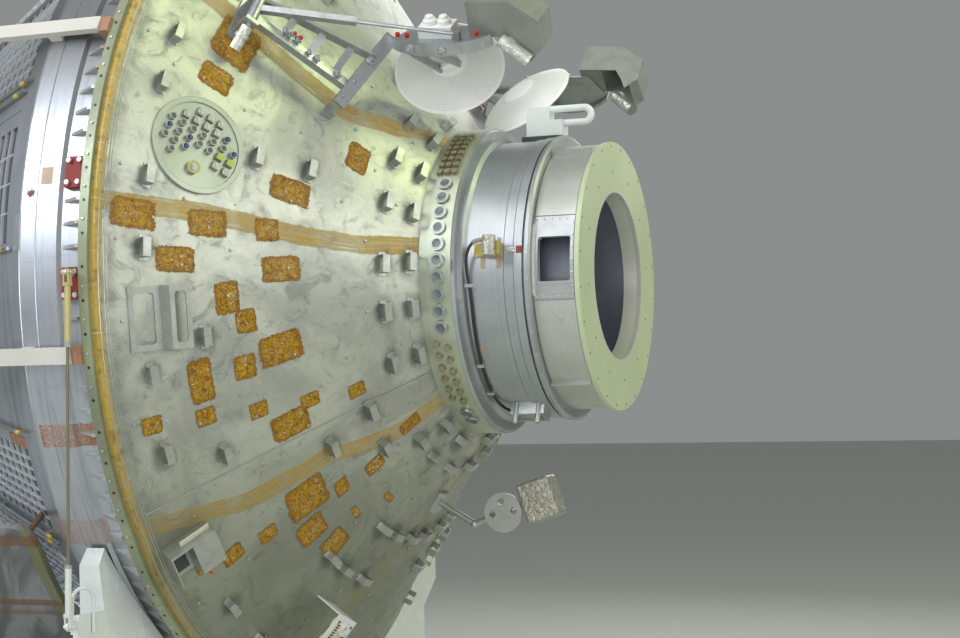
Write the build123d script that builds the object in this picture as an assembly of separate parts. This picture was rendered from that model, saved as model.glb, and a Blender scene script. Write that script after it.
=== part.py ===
from build123d import *
import math
import os

# A spacecraft's conical pressure compartment with a docking tunnel, on its display cradle. Millimetres.
# Every piece is drawn about the hull's own axis: X runs forward to the docking port and X = 0 is the
# plane of the big front flange. write() then lifts it on the cradle. A clock angle is counted round
# the hull from the top, towards the -Y side, and -90 is the +Y side.

# Barrel: a short drum at the front flange, a long taper behind it and a narrow drum at the back
BARREL_RADIUS = 2045.0
BARREL_LENGTH = 1820.0
BARREL_WALL = 45.0
NECK_LENGTH = 107.0
NECK_STEP = 15.0
NECK_RADIUS = BARREL_RADIUS - NECK_STEP
TAPER_FRONT = -300.0
TAPER_SLOPE = 0.6
TAPER_DROP = 595.0
REAR_RADIUS = BARREL_RADIUS - TAPER_DROP
PANEL_DEPTH = 12.0
PANEL_FRONT = -410.0
PANEL_REAR_MARGIN = 90.0
# Milled panels on one side: clock angle of the first and of the last edge
PANELS = [(3.0, 22.0), (26.0, 45.0), (48.0, 64.6), (71.2, 86.2), (111.8, 123.4), (127.4, 150.0), (154.0, 177.0)]

# Front flange, its gussets and the rear ring
FLANGE_STEP = 30.0
FLANGE_RADIUS = BARREL_RADIUS + FLANGE_STEP
FLANGE_REAR = 0.0
FLANGE_FRONT = 42.0
FLANGE_DEPTH = 85.0
GUSSET_COUNT = 132
GUSSET_LENGTH = 100.0
GUSSET_THICKNESS = 14.0
GUSSET_GAP = 2.6
REAR_RING_LENGTH = 60.0
DISH_RISE = 330.0
DISH_WALL = 40.0

# Cone
CONE_BASE_X = 78.0
CONE_INSET = 24.0
CONE_BASE_RADIUS = BARREL_RADIUS - CONE_INSET
CONE_TOP_X = 952.0
CONE_TOP_RADIUS = 743.0
CONE_WALL = 36.0
CONE_EDGE_STEP = 34.0
CONE_EDGE_RADIUS = CONE_BASE_RADIUS + CONE_EDGE_STEP
CONE_EDGE_LENGTH = 22.0

# Collar, tunnel and end collar
COLLAR_LENGTH = 153.0
COLLAR_WALL = 40.0
TUNNEL_FOOT_INSET = 5.0
TUNNEL_FOOT_RADIUS = CONE_TOP_RADIUS - TUNNEL_FOOT_INSET
TUNNEL_FOOT_LENGTH = 14.0
TUNNEL_FOOT_DEPTH = 70.0
TUNNEL_RADIUS = TUNNEL_FOOT_RADIUS - TUNNEL_FOOT_DEPTH
TUNNEL_WALL = 38.0
TUNNEL_BORE = TUNNEL_RADIUS - TUNNEL_WALL
TUNNEL_LENGTH = 320.0
TUNNEL_STEP_RISE = 22.0
TUNNEL_STEP_RADIUS = TUNNEL_RADIUS + TUNNEL_STEP_RISE
TUNNEL_STEP_LENGTH = 36.0
GROOVE_DEPTH = 11.0
GROOVE_RADIUS = TUNNEL_RADIUS - GROOVE_DEPTH
GROOVE_LENGTH = 9.0
JOINT_FLANGE_RISE = 18.0
JOINT_FLANGE_RADIUS = TUNNEL_RADIUS + JOINT_FLANGE_RISE
JOINT_FLANGE_LENGTH = 28.0
END_COLLAR_INSET = 36.0
END_COLLAR_RADIUS = TUNNEL_RADIUS - END_COLLAR_INSET
END_COLLAR_WALL = 26.0
END_COLLAR_BORE = END_COLLAR_RADIUS - END_COLLAR_WALL
END_COLLAR_LENGTH = 198.0
END_PANEL_THICKNESS = 10.0
END_PLATE_THICKNESS = 22.0
PORT_RADIUS = 400.0
PORT_INNER_RADIUS = 391.0
LIP_DEPTH = 65.0
LIP_WALL = 16.0

# Docking tube inside the tunnel, bulkhead and hatch
BULKHEAD_X = 980.0
BULKHEAD_THICKNESS = 25.0
HATCHWAY_RADIUS = 395.0
INNER_TUBE_BORE = 440.0
INNER_TUBE_WALL = 26.0
INNER_TUBE_FRONT = 1585.0
INNER_BAND_X = 1300.0
INNER_BAND_WIDTH = 52.0
INNER_BAND_RADIUS = 430.0
LATCH_SIZE = (55.0, 24.0, 14.0)
LATCH_ROWS = (1235.0, 1400.0)
LATCH_COUNT = 8
HATCH_RADIUS = 428.0
HATCH_THICKNESS = 30.0
HATCH_RIB_THICKNESS = 14.0
HATCH_RIB_HEIGHT = 36.0
HINGE_Y = 492.0
HINGE_DROP = 34.0
HINGE_PIN_RADIUS = 12.0
HINGE_PIN_LENGTH = 200.0
HINGE_KNUCKLE_RADIUS = 25.0
HINGE_KNUCKLE_LENGTH = 90.0
HINGE_LUG_THICKNESS = 24.0

# Running clearance of a piece laid on a curved wall, and of a shaft in its hole
SEAT = 0.3
SHAFT_CLEARANCE = 0.06

# Fittings of the cone: a round socket plate, a folded frame, a box and a socket bracket
PLATE_RADIUS = 215.0
PLATE_SEAT_RADIUS = CONE_BASE_RADIUS - 328.0
PLATE_CLOCK = 71.4
PLATE_RISE = 9.0
PLATE_RECESS_RADIUS = 192.0
PLATE_RECESS_DEPTH = 5.0
SOCKET_PITCH = (52.0, 46.0)
SOCKET_LATTICE_TURN = -15.0
SOCKET_RADIUS = 16.0
SOCKET_HEIGHT = 18.0
# Rows of sockets on the plate: row, first and last column, square or not
SOCKET_ROWS = [(3, -1, 1, True), (2, -2, 1, True), (1, -3, 3, False), (0, -3, 1, False),
               (0, 2, 3, True), (-1, -3, -1, False), (-1, 2, 3, True), (-2, -2, -2, False)]
MAIN_SOCKET = (-13.0, -112.0, 27.0)

# Bridge brackets: clock angle, seat radius on the cone, turn about the cone's normal
BRIDGE_LENGTH = 80.0
BRIDGE_WIDTH = 36.0
BRIDGE_HEIGHT = 44.0
BRIDGE_FOOT = 14.0
BRIDGE_SHEET = 4.0
BRIDGE_RINGS = [(CONE_TOP_RADIUS + 45.0, (20.0, 36.0, 52.7, 69.0, 85.7, 101.0, 116.9, 151.4, 167.0)),
                (CONE_TOP_RADIUS + 165.0, (37.1, 53.4, 68.7, 87.0, 100.5, 116.1, 146.8, 158.1, 172.0)),
                (CONE_TOP_RADIUS + 306.0, (24.0, 125.5, 138.0)),
                (CONE_BASE_RADIUS - 775.0, (68.6, 128.0, 160.1, 166.7, 176.3)),
                (CONE_BASE_RADIUS - 558.0, (24.0, 70.1, 151.6, 157.7, 166.5)),
                (CONE_BASE_RADIUS - 366.0, (99.5, 118.0)),
                (CONE_BASE_RADIUS - 151.0, (26.0, 56.5, 64.4, 77.7, 87.1, 103.4, 114.0, 141.6, 152.0))]

# Folded frame with two windows on the cone
FRAME_CLOCK = 96.2
FRAME_SEAT_RADIUS = CONE_BASE_RADIUS - 199.0
FRAME_SIZE = (262.0, 268.0)
FRAME_SHEET = 6.0
FRAME_WINDOW = (95.0, 215.0)
FRAME_CORNER = 18.0
FRAME_RISE = 46.0

# Open box on the cone, low on the -Y side
HOUSING_CLOCK = 128.6
HOUSING_SEAT_RADIUS = CONE_BASE_RADIUS - 116.0
HOUSING_SIZE = (230.0, 170.0, 95.0)
HOUSING_WALL = 8.0

# Socket bracket low on the cone
TRAY_CLOCK = 160.0
TRAY_SEAT_RADIUS = CONE_BASE_RADIUS - 296.0
TRAY_SIZE = (300.0, 190.0, 7.0)
TRAY_LEG = 150.0
TRAY_PIPE_RADIUS = 32.0
TRAY_PIPE_OFFSETS = (-95.0, 0.0, 95.0)

# Socket rows round the collar
COLLAR_SOCKET_X = 1041.0
COLLAR_SOCKET_RADIUS = 34.0
COLLAR_SOCKET_HEIGHT = 12.0
COLLAR_SOCKET_CLOCKS = [55.4 + 5.93 * n for n in range(10)]
COLLAR_LOW_CLOCKS = (148.1, 153.6)
COLLAR_LOW_RADIUS = 33.0
COLLAR_SMALL_RADIUS = 17.0
COLLAR_SMALL_CLOCKS = [115.0 + 4.8 * n for n in range(6)]
COLLAR_SMALL_ROWS = (1005.0, 1055.0)
COLLAR_TILE = 26.0
COLLAR_TILE_HEIGHT = 16.0
COLLAR_TILE_ROWS = (1000.0, 1036.0, 1072.0)
COLLAR_TILE_CLOCKS = [26.0 + 3.4 * n for n in range(8)]

# Window and panels of the end collar, as clock angles
WINDOW_CLOCK = 85.0
WINDOW_SIZE = (153.0, 203.0)
WINDOW_X = 1564.5
WINDOW_CORNER = 12.0
WINDOW_PANEL_CLOCKS = (67.0, 101.4)
LOWER_SHROUD_CLOCKS = (101.9, 141.5)
UPPER_SHROUD_CLOCKS = (28.4, 66.5)
SHROUD_MARGIN = 3.0
SHROUD_LIP = 24.0
SHROUD_LIP_TURN = 0.9

# Hand rail block on top of the tunnel
GRIP_X = 1250.0
GRIP_BASE = (190.0, 130.0, 22.0)
GRIP_BLOCK = (112.0, 96.0, 142.0)
GRIP_STEP = (70.0, 96.0, 78.0)
GRIP_TUBE_RADIUS = 17.0
GRIP_TUBE_RISES = (64.0, 134.0)
GRIP_REACH = 132.0

# Wrapped sensor on its wedge, its lead, clips and junction box on the tunnel
WEDGE_X = 1262.0
WEDGE_CLOCK = 81.0
WEDGE_SIZE = (130.0, 60.0, 62.0)
SENSOR_RADIUS = 30.0
SENSOR_LENGTH = 92.0
LEAD_RADIUS = 7.0
LEAD_RISE = 12.0
# The lead's route: X, clock angle, height over the tunnel's skin
LEAD_ROUTE = [(1204.0, 78.4, 46.0), (1180.0, 80.6, 42.0), (1166.0, 84.0, 34.0), (1164.0, 88.5, 22.0),
              (1170.0, 93.5, 14.0), (1176.0, 99.5, LEAD_RISE), (1176.0, 107.0, LEAD_RISE),
              (1173.0, 115.0, LEAD_RISE), (1171.0, 123.0, LEAD_RISE), (1170.0, 131.0, LEAD_RISE),
              (1170.0, 139.0, LEAD_RISE), (1173.0, 145.5, LEAD_RISE), (1180.0, 150.2, 14.0),
              (1196.0, 153.8, 20.0), (1236.0, 157.2, 26.0)]
CLIP_STOPS = [(1171.0, 94.5), (1170.5, 127.4), (1171.5, 142.5)]
CLIP_SIZE = (34.0, 16.0, 26.0)
JUNCTION_X = 1318.0
JUNCTION_CLOCK = 156.0
JUNCTION_SIZE = (164.0, 96.0, 58.0)
JUNCTION_POST_RADIUS = 11.0
JUNCTION_POST_LENGTH = 46.0

# Rails and tubes along the barrel, and the pods low on its sides
RAIL_CLOCKS = (59.7, 99.6)
RAIL_WIDTH = 68.0
RAIL_DEPTH = 28.0
RAIL_STANDOFF = 30.0
RAIL_FRONT = -45.0
RAIL_LENGTH = 1000.0
RAIL_PAD_LENGTH = 56.0
RAIL_PAD_X = -270.0
RAIL_LEG_X = -960.0
TUBE_RADIUS = 9.0
TUBE_REAR = -1180.0
TUBE_STANDOFF = 8.0
# Tubes along the taper: clock angle and front end
TUBES = [(65.3, -366.0), (66.6, -402.0), (87.0, -370.0), (109.5, -370.0), (124.6, -383.0), (125.5, -390.0)]
TUBE_CLIP_STATIONS = (-460.0, -800.0, -1140.0)
POD_CLOCKS = (119.7, 152.0)
POD_FRONT = -385.0
POD_LENGTH = 720.0
POD_RISE = 105.0
POD_CORNER = 120.0
POD_RIM = 26.0
POD_RIM_RISE = 10.0
POD_SHEET = 34.0
POD_POST_RADIUS = 14.0
POD_POST_INSET = 70.0

# Tie-down lugs, rods and the cradle
AXIS_HEIGHT = 2900.0
LUG_CLOCKS = (78.6, 91.5)
LUG_SIZE = (84.0, 132.0, 34.0)
LUG_BOLT_RADIUS = 11.0
LUG_BOLT_HEIGHT = 14.0
# The rod's upper pin, Y outwards
ROD_HEAD = (-24.0, BARREL_RADIUS + 73.0, -12.0)
ROD_RADIUS = 6.5
SLEEVE_RADIUS = 13.0
SLEEVE_LENGTH = 232.0
SOCKET_BODY_RADIUS = 13.5
SOCKET_BODY_LENGTH = 195.0
LOCK_NUT = (15.0, 27.0)
ROD_PIN_RADIUS = 7.0
FORK_SLOT = 14.0
FORK_PLAY = 2.0
FORK_CHEEK = 7.0
FORK_LENGTH = 44.0
EYE_RADIUS = 19.0
SADDLE_THICKNESS = 133.0
SADDLE_STATIONS = (-212.0, -1640.0)
SADDLE_INSET = 283.0
SADDLE_HALF_WIDTH = BARREL_RADIUS - SADDLE_INSET
SADDLE_TOP = -1232.0
SADDLE_LEAN = 0.126
SADDLE_LEAN_FOOT = -1530.0
REAR_SADDLE_INSET = 215.0
REAR_SADDLE_HALF_WIDTH = REAR_RADIUS - REAR_SADDLE_INSET
REAR_SADDLE_TOP = -960.0
REAR_SADDLE_STEP = -1415.0
SADDLE_FOOT_HEIGHT = 160.0
PAD_THICKNESS = 15.0
PAD_WIDTH = 76.0
PAD_CLOCKS = (125.5, 234.5)
SHOULDER_REACH = 208.0
SHOULDER_TOP = -1415.0
SHOULDER_HEIGHT = 420.0
SHOULDER_SHEET = 30.0
SHOULDER_REAR = -115.0
SHOULDER_FACE = SADDLE_HALF_WIDTH + SHOULDER_REACH
# The rod's lower pin, on the shoulder plate's eye
ROD_FOOT = (-100.0, SHOULDER_FACE + 52.0, SHOULDER_TOP - 40.0)
FOOT_PLATE = (330.0, 420.0, 20.0)
FOOT_INSET = 110.0
CRADLE_BEAM = (120.0, 160.0)
CRADLE_BEAM_Y = SADDLE_HALF_WIDTH - 262.0
LOOP_RADIUS = 8.0
LOOP_LEGS_Y = (SHOULDER_FACE - 98.0, SHOULDER_FACE - 10.0)
LOOP_FOOT = SHOULDER_TOP - 80.0
LOOP_SHOULDER = SHOULDER_TOP + 57.0

# Antenna boom of one side: its hinge's station, clock angle and height over the cone, and from the
# hinge to the elbow, the foot and the deck's ends, Y outwards
BOOM_HINGE_X = 420.0
BOOM_CLOCK = 47.2737506
BOOM_HEIGHT = 207.90997
ELBOW_OFFSET = (320.0, -298.0, -341.0)
FOOT_OFFSET = (272.0, -252.0, -409.0)
DECK_LEFT_OFFSET = (479.0, -370.0, -117.0)
DECK_RIGHT_OFFSET = (968.0, -370.0, -158.0)
DECK_LEAN = 33.5
BOOM_WIDTH = 46.0
BOOM_DEPTH = 34.0
BACK_BEAM_DEPTH = 40.0
BACK_BEAM_WIDTH = 22.0
BACK_BEAM_JOIN = 0.72
CROSS_BARS = (0.3, 0.55, 0.8)
ARM_WIDTH = 62.0
ARM_DEPTH = 30.0
STRUT_RADIUS = 9.0
STRUT_BAR = (34.0, 26.0)
STRUT_BAR_SHARE = 0.5
STRUT_PIN_INSET = 155.0
STRUT_PIN_Y = -15.0
HINGE_BARREL_RADIUS = 27.0
HINGE_BARREL_LENGTH = 170.0
BOOM_PIN_RADIUS = 13.0
BOOM_PIN_LENGTH = 260.0
BOOM_REST_GAP = 6.0
MOVING_GAP = 5.0
DECK_DEPTH = 150.0
DECK_THICKNESS = 8.0
DECK_BEAM_HEIGHT = 54.0
DECK_BEAM_BULGE = 110.0
DECK_BEAM_DEPTH = 20.0
INSTRUMENT_BOX = (160.0, 100.0, 52.0)
INSTRUMENT_AT = (-29.0, 62.0)
DOME_SPACING = 68.0
DOME_RADIUS = 31.0
DOME_HEIGHT = 44.0
HOOD_START = 130.0
HOOD_LENGTH = 330.0
HOOD_DEPTH = 170.0
HOOD_HEIGHT = 165.0
HOOD_WALL = 6.0
CANISTER_RADIUS = 32.0
CANISTER_LENGTH = 160.0

# Dish of one side: from the hinge to its rim's centre, where its open side looks, and its pivot
DISH_RIM_OFFSET = (632.0, -720.0, -213.0)
DISH_RADIUS = 258.0
DISH_BOWL_DEPTH = 78.0
DISH_SHEET = 5.0
DISH_LOOK = (0.345, 0.608, -0.712)
DISH_OFFSET = 44.0
DISH_HUB_RADIUS = 52.0
DISH_HUB_HEIGHT = 10.0
DISH_PIN_RADIUS = 8.0
DISH_PIN_LENGTH = 120.0
DISH_LUG_THICKNESS = 14.0
DISH_LUG_RADIUS = 22.0

# Wrapped probe under the collar
PROBE_CENTRE = (1096.0, -40.0, -1126.0)
PROBE_DISC_RADIUS = 96.0
PROBE_DISC_THICKNESS = 12.0
PROBE_HOLE_RADIUS = 17.0
PROBE_HOLE_CIRCLE = 56.0
PROBE_BOX = (165.0, 150.0, 200.0)
PROBE_SEAT_RADIUS = CONE_TOP_RADIUS + 332.0
PROBE_ARM_RADIUS = 16.0
PROBE_PAD = 30.0

CONE_SLOPE = (CONE_BASE_RADIUS - CONE_TOP_RADIUS) / (CONE_TOP_X - CONE_BASE_X)
CONE_ANGLE = math.degrees(math.atan(CONE_SLOPE))
COLLAR_END = CONE_TOP_X + COLLAR_LENGTH
TUNNEL_END = COLLAR_END + TUNNEL_LENGTH
JOINT_FLANGE_END = TUNNEL_END + GROOVE_LENGTH + JOINT_FLANGE_LENGTH
END_COLLAR_END = JOINT_FLANGE_END + END_COLLAR_LENGTH
NOSE_X = END_COLLAR_END + END_PLATE_THICKNESS
BARREL_REAR = FLANGE_REAR - BARREL_LENGTH
TAPER_REAR = TAPER_FRONT - (BARREL_RADIUS - REAR_RADIUS) / TAPER_SLOPE
TAPER_ANGLE = math.degrees(math.atan(TAPER_SLOPE))
REAR_RING_REAR = BARREL_REAR - REAR_RING_LENGTH
TAIL_X = REAR_RING_REAR - DISH_RISE
MIDDLE_X = (NOSE_X + TAIL_X) / 2.0
END_PANEL_RADIUS = END_COLLAR_RADIUS + END_PANEL_THICKNESS
HINGE_RADIUS = CONE_BASE_RADIUS - CONE_SLOPE * (BOOM_HINGE_X - CONE_BASE_X) + BOOM_HEIGHT
BOOM_HINGE = (BOOM_HINGE_X, HINGE_RADIUS * math.sin(math.radians(BOOM_CLOCK)),
              HINGE_RADIUS * math.cos(math.radians(BOOM_CLOCK)))


def from_hinge(offset):
    """A point of the antenna, given from its boom's hinge."""
    return tuple(a + b for a, b in zip(BOOM_HINGE, offset))


BOOM_ELBOW = from_hinge(ELBOW_OFFSET)
BOOM_FOOT = from_hinge(FOOT_OFFSET)
DECK_LEFT = from_hinge(DECK_LEFT_OFFSET)
DECK_RIGHT = from_hinge(DECK_RIGHT_OFFSET)
DISH_CENTRE = from_hinge(DISH_RIM_OFFSET)


def turned(points):
    """A body of revolution about the hull's axis from (x, radius) points."""
    outline = Polyline(*[(x, 0, r) for x, r in points], close=True)
    return revolve(make_face(outline), Axis.X, 360)


def sector(points, first, last):
    """The part of such a body between two clock angles."""
    outline = Polyline(*[(x, 0, r) for x, r in points], close=True)
    return Rot(first, 0, 0) * revolve(make_face(outline), Axis.X, last - first)


def ring(rear, front, inner, outer):
    """A plain ring between two stations."""
    return turned([(rear, inner), (front, inner), (front, outer), (rear, outer)])


def ring_sector(rear, front, inner, outer, first, last):
    """A plain ring's part between two clock angles."""
    return sector([(rear, inner), (front, inner), (front, outer), (rear, outer)], first, last)


def on_hull(x, radius, clock, turn=0.0):
    """A seat on a cylinder: local Z points outwards and local X forwards."""
    return Rot(clock, 0, 0) * Pos(x, 0, radius) * Rot(0, 0, turn)


def cone_x(radius):
    """The station where the cone's outside has this radius."""
    return CONE_BASE_X + (CONE_BASE_RADIUS - radius) / CONE_SLOPE


def on_cone(radius, clock, lift=0.0, turn=0.0):
    """A seat on the cone: local Z is the cone's normal and local X points up the cone."""
    return (Rot(clock, 0, 0) * Pos(cone_x(radius), 0, radius) * Rot(0, CONE_ANGLE, 0)
            * Pos(0, 0, lift) * Rot(0, 0, turn))


def hull_radius(x):
    """The barrel's outside radius at a station, without its neck."""
    return min(BARREL_RADIUS, max(REAR_RADIUS, BARREL_RADIUS + TAPER_SLOPE * (x - TAPER_FRONT)))


def on_taper(x, clock, lift=0.0):
    """A seat on the taper: local Z is its normal and local X points forwards along it."""
    return Rot(clock, 0, 0) * Pos(x, 0, hull_radius(x)) * Rot(0, -TAPER_ANGLE, 0) * Pos(0, 0, lift)


def taper_room(clearance):
    """The barrel's outside grown by a clearance, to cut the seats of what stands on it."""
    drop = clearance / math.cos(math.radians(TAPER_ANGLE))
    shift = (drop - clearance) / TAPER_SLOPE
    return turned([(BARREL_REAR, 0.0), (BARREL_REAR, REAR_RADIUS + clearance),
                   (TAPER_REAR - shift, REAR_RADIUS + clearance), (TAPER_FRONT - shift, BARREL_RADIUS + clearance),
                   (FLANGE_REAR, BARREL_RADIUS + clearance), (FLANGE_REAR, 0.0)])


def cone_sag(radius, half_width):
    """How far the cone falls away below a flat foot this far to each side."""
    return half_width ** 2 / (2.0 * radius / math.cos(math.radians(CONE_ANGLE)))


def round_point(x, clock, radius):
    """A point given by station, clock angle and radius."""
    a = math.radians(clock)
    return Vector(x, -radius * math.sin(a), radius * math.cos(a))


def standing(length, width, height, at=(0.0, 0.0)):
    """A block that stands on its seat."""
    return Pos(at[0], at[1], 0) * Box(length, width, height, align=(Align.CENTER, Align.CENTER, Align.MIN))


def post(radius, height, at=(0.0, 0.0), base=0.0):
    """A round post that stands on its seat."""
    return Pos(at[0], at[1], base) * Cylinder(radius, height, align=(Align.CENTER, Align.CENTER, Align.MIN))


def beam(start, end, width, depth, up=(0, 0, 1)):
    """A rectangular bar between two points, its width across the up direction."""
    start, end = Vector(*start), Vector(*end)
    along = end - start
    side = along.cross(Vector(*up))
    plane = Plane(origin=start, x_dir=side, z_dir=along)
    return extrude(plane * Rectangle(width, depth), along.length)


def rod(start, end, radius):
    """A round bar between two points."""
    start, end = Vector(*start), Vector(*end)
    along = end - start
    return extrude(Plane(origin=start, z_dir=along) * Circle(radius), along.length)


def spot(seat, x, y, z):
    """A seat's local point in the hull's own frame."""
    return (seat * Pos(x, y, z)).position


def joined(pieces):
    """Several overlapping pieces as one."""
    first, *rest = pieces
    return first.fuse(*rest) if rest else first


def both_sides(make):
    """The pieces of the -Y side and their mirror images."""
    own = list(make())
    return own + [mirror(piece, Plane.XZ) for piece in own]


def write(name, pieces):
    """Writes one node, lifted on the cradle and centred on its length."""
    solids = [s for piece in pieces for s in piece.solids()]
    moved = [s.moved(Location((-MIDDLE_X, 0, AXIS_HEIGHT))) for s in solids]
    export_step(Compound(children=moved) if len(moved) > 1 else moved[0], f"parts/{name}.step")


def taper_inside():
    """How far forward the taper's inside starts, and its inside radius at the taper's front."""
    drop = BARREL_WALL / math.cos(math.radians(TAPER_ANGLE))
    shift = (drop - BARREL_WALL) / TAPER_SLOPE
    return shift, BARREL_RADIUS - BARREL_WALL - shift * TAPER_SLOPE


def barrel():
    """The barrel's front drum, with a low neck behind the big flange."""
    inner = BARREL_RADIUS - BARREL_WALL
    neck_rear = FLANGE_REAR - NECK_LENGTH
    shift, waist = taper_inside()
    return turned([(TAPER_FRONT, waist), (TAPER_FRONT + shift, inner), (FLANGE_REAR, inner),
                   (FLANGE_REAR, NECK_RADIUS), (neck_rear, NECK_RADIUS), (neck_rear - NECK_STEP, BARREL_RADIUS),
                   (TAPER_FRONT, BARREL_RADIUS)])


def barrel_taper():
    """The taper between the two drums, with its shallow milled panels."""
    inner = REAR_RADIUS - BARREL_WALL
    shift, waist = taper_inside()
    shell = turned([(TAPER_REAR, inner), (TAPER_REAR + shift, inner), (TAPER_FRONT, waist),
                    (TAPER_FRONT, BARREL_RADIUS), (TAPER_REAR, REAR_RADIUS)])
    rear = TAPER_REAR + PANEL_REAR_MARGIN
    depth = PANEL_DEPTH / math.cos(math.radians(TAPER_ANGLE))
    low, high = hull_radius(rear), hull_radius(PANEL_FRONT)
    pocket = [(rear, low - depth), (PANEL_FRONT, high - depth), (PANEL_FRONT, high + 60.0), (rear, low + 60.0)]
    pockets = [sector(pocket, first, last)
               for side in (1, -1) for first, last in [sorted((side * a, side * b)) for a, b in PANELS]]
    return shell.cut(*pockets)


def barrel_rear():
    """The barrel's rear drum."""
    return ring(BARREL_REAR, TAPER_REAR, REAR_RADIUS - BARREL_WALL, REAR_RADIUS)


def front_flange():
    """The big bolted ring, with a row of gussets down to the barrel's neck."""
    inner = FLANGE_RADIUS - FLANGE_DEPTH
    body = ring(FLANGE_REAR, FLANGE_FRONT, inner, FLANGE_RADIUS)
    foot = NECK_RADIUS + SEAT
    tip = FLANGE_REAR - GUSSET_LENGTH
    profile = Polyline((FLANGE_REAR + 1.0, 0, foot), (tip, 0, foot), (FLANGE_REAR - 18.0, 0, FLANGE_RADIUS - 3.0),
                       (FLANGE_REAR + 1.0, 0, FLANGE_RADIUS - 3.0), close=True)
    gusset = extrude(make_face(profile), GUSSET_THICKNESS / 2.0, both=True)
    blocked = [c for c in LUG_CLOCKS + RAIL_CLOCKS]
    clocks = [360.0 * n / GUSSET_COUNT for n in range(GUSSET_COUNT)]
    kept = [c for c in clocks if all(abs(min(c, 360.0 - c) - b) > GUSSET_GAP for b in blocked)]
    return joined([body] + [Rot(c, 0, 0) * gusset for c in kept])


def rear_ring():
    """The ring at the barrel's back end."""
    return ring(REAR_RING_REAR, BARREL_REAR, REAR_RADIUS - FLANGE_DEPTH, REAR_RADIUS + FLANGE_RADIUS - BARREL_RADIUS)


def rear_dish():
    """The shallow domed end behind the rear ring, with a flat rim."""
    rim = REAR_RADIUS - 30.0
    radius = (rim ** 2 + DISH_RISE ** 2) / (2.0 * DISH_RISE)
    centre = REAR_RING_REAR - DISH_RISE + radius
    inner_radius = radius - DISH_WALL
    inner_rim = math.sqrt(inner_radius ** 2 - (centre - REAR_RING_REAR) ** 2)

    def bow(size, edge):
        top = math.asin(edge / size)
        return (centre - size * math.cos(top / 2.0), 0, size * math.sin(top / 2.0))

    outer_arc = ThreePointArc((centre - radius, 0, 0), bow(radius, rim), (REAR_RING_REAR, 0, rim))
    inner_arc = ThreePointArc((REAR_RING_REAR, 0, inner_rim), bow(inner_radius, inner_rim),
                              (centre - inner_radius, 0, 0))
    wires = [outer_arc, Line((REAR_RING_REAR, 0, rim), (REAR_RING_REAR, 0, inner_rim)), inner_arc,
             Line((centre - inner_radius, 0, 0), (centre - radius, 0, 0))]
    return revolve(make_face(Wire(wires)), Axis.X, 360)


def cone_shell():
    """The hollow cone, open where the socket plate sits."""
    drop = CONE_WALL / math.cos(math.radians(CONE_ANGLE))
    edge_front = FLANGE_FRONT + CONE_EDGE_LENGTH
    shell = turned([(FLANGE_FRONT, CONE_BASE_RADIUS - drop), (FLANGE_FRONT, CONE_EDGE_RADIUS),
                    (edge_front, CONE_EDGE_RADIUS), (CONE_BASE_X, CONE_BASE_RADIUS),
                    (CONE_TOP_X, CONE_TOP_RADIUS), (CONE_TOP_X, CONE_TOP_RADIUS - drop),
                    (CONE_BASE_X, CONE_BASE_RADIUS - drop)])
    seat = on_cone(PLATE_SEAT_RADIUS, PLATE_CLOCK)
    return shell - seat * Cylinder(PLATE_RADIUS + SEAT, 6.0 * CONE_WALL)


def socket_plate():
    """The round plate in the cone, with its rows of round and square sockets."""
    plate = post(PLATE_RADIUS, CONE_WALL + PLATE_RISE, base=-CONE_WALL)
    plate -= post(PLATE_RECESS_RADIUS, 3.0 * PLATE_RECESS_DEPTH, base=PLATE_RISE - PLATE_RECESS_DEPTH)
    floor = PLATE_RISE - PLATE_RECESS_DEPTH - 1.0
    sockets = [post(MAIN_SOCKET[2], SOCKET_HEIGHT, MAIN_SOCKET[:2], floor)]
    for row, first, last, square in SOCKET_ROWS:
        for column in range(first, last + 1):
            spot = Rot(0, 0, SOCKET_LATTICE_TURN) * Pos(column * SOCKET_PITCH[0], row * SOCKET_PITCH[1], floor)
            block = standing(2.0 * SOCKET_RADIUS, 2.0 * SOCKET_RADIUS, SOCKET_HEIGHT)
            sockets.append(spot * (block if square else post(SOCKET_RADIUS, SOCKET_HEIGHT)))
    return on_cone(PLATE_SEAT_RADIUS, PLATE_CLOCK) * joined([plate] + sockets)


def bridge_bracket():
    """A strip folded into a bridge, its feet on the local XY plane."""
    half = BRIDGE_LENGTH / 2.0
    foot = half + BRIDGE_FOOT
    sheet = BRIDGE_SHEET
    outline = Polyline((0, -foot, 0), (0, -half + sheet, 0), (0, -half + sheet, BRIDGE_HEIGHT - sheet),
                       (0, half - sheet, BRIDGE_HEIGHT - sheet), (0, half - sheet, 0), (0, foot, 0),
                       (0, foot, sheet), (0, half, sheet), (0, half, BRIDGE_HEIGHT), (0, -half, BRIDGE_HEIGHT),
                       (0, -half, sheet), (0, -foot, sheet), close=True)
    return extrude(make_face(outline), BRIDGE_WIDTH / 2.0, both=True)


def bridge_brackets():
    """Rings of bridge brackets over the cone, on both sides."""
    strip = bridge_bracket()
    inner_foot = BRIDGE_LENGTH / 2.0 - BRIDGE_SHEET

    def one_side():
        for radius, clocks in BRIDGE_RINGS:
            lift = SEAT - cone_sag(radius, inner_foot)
            for clock in clocks:
                yield on_cone(radius, clock, lift) * strip
    return both_sides(one_side)


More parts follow.
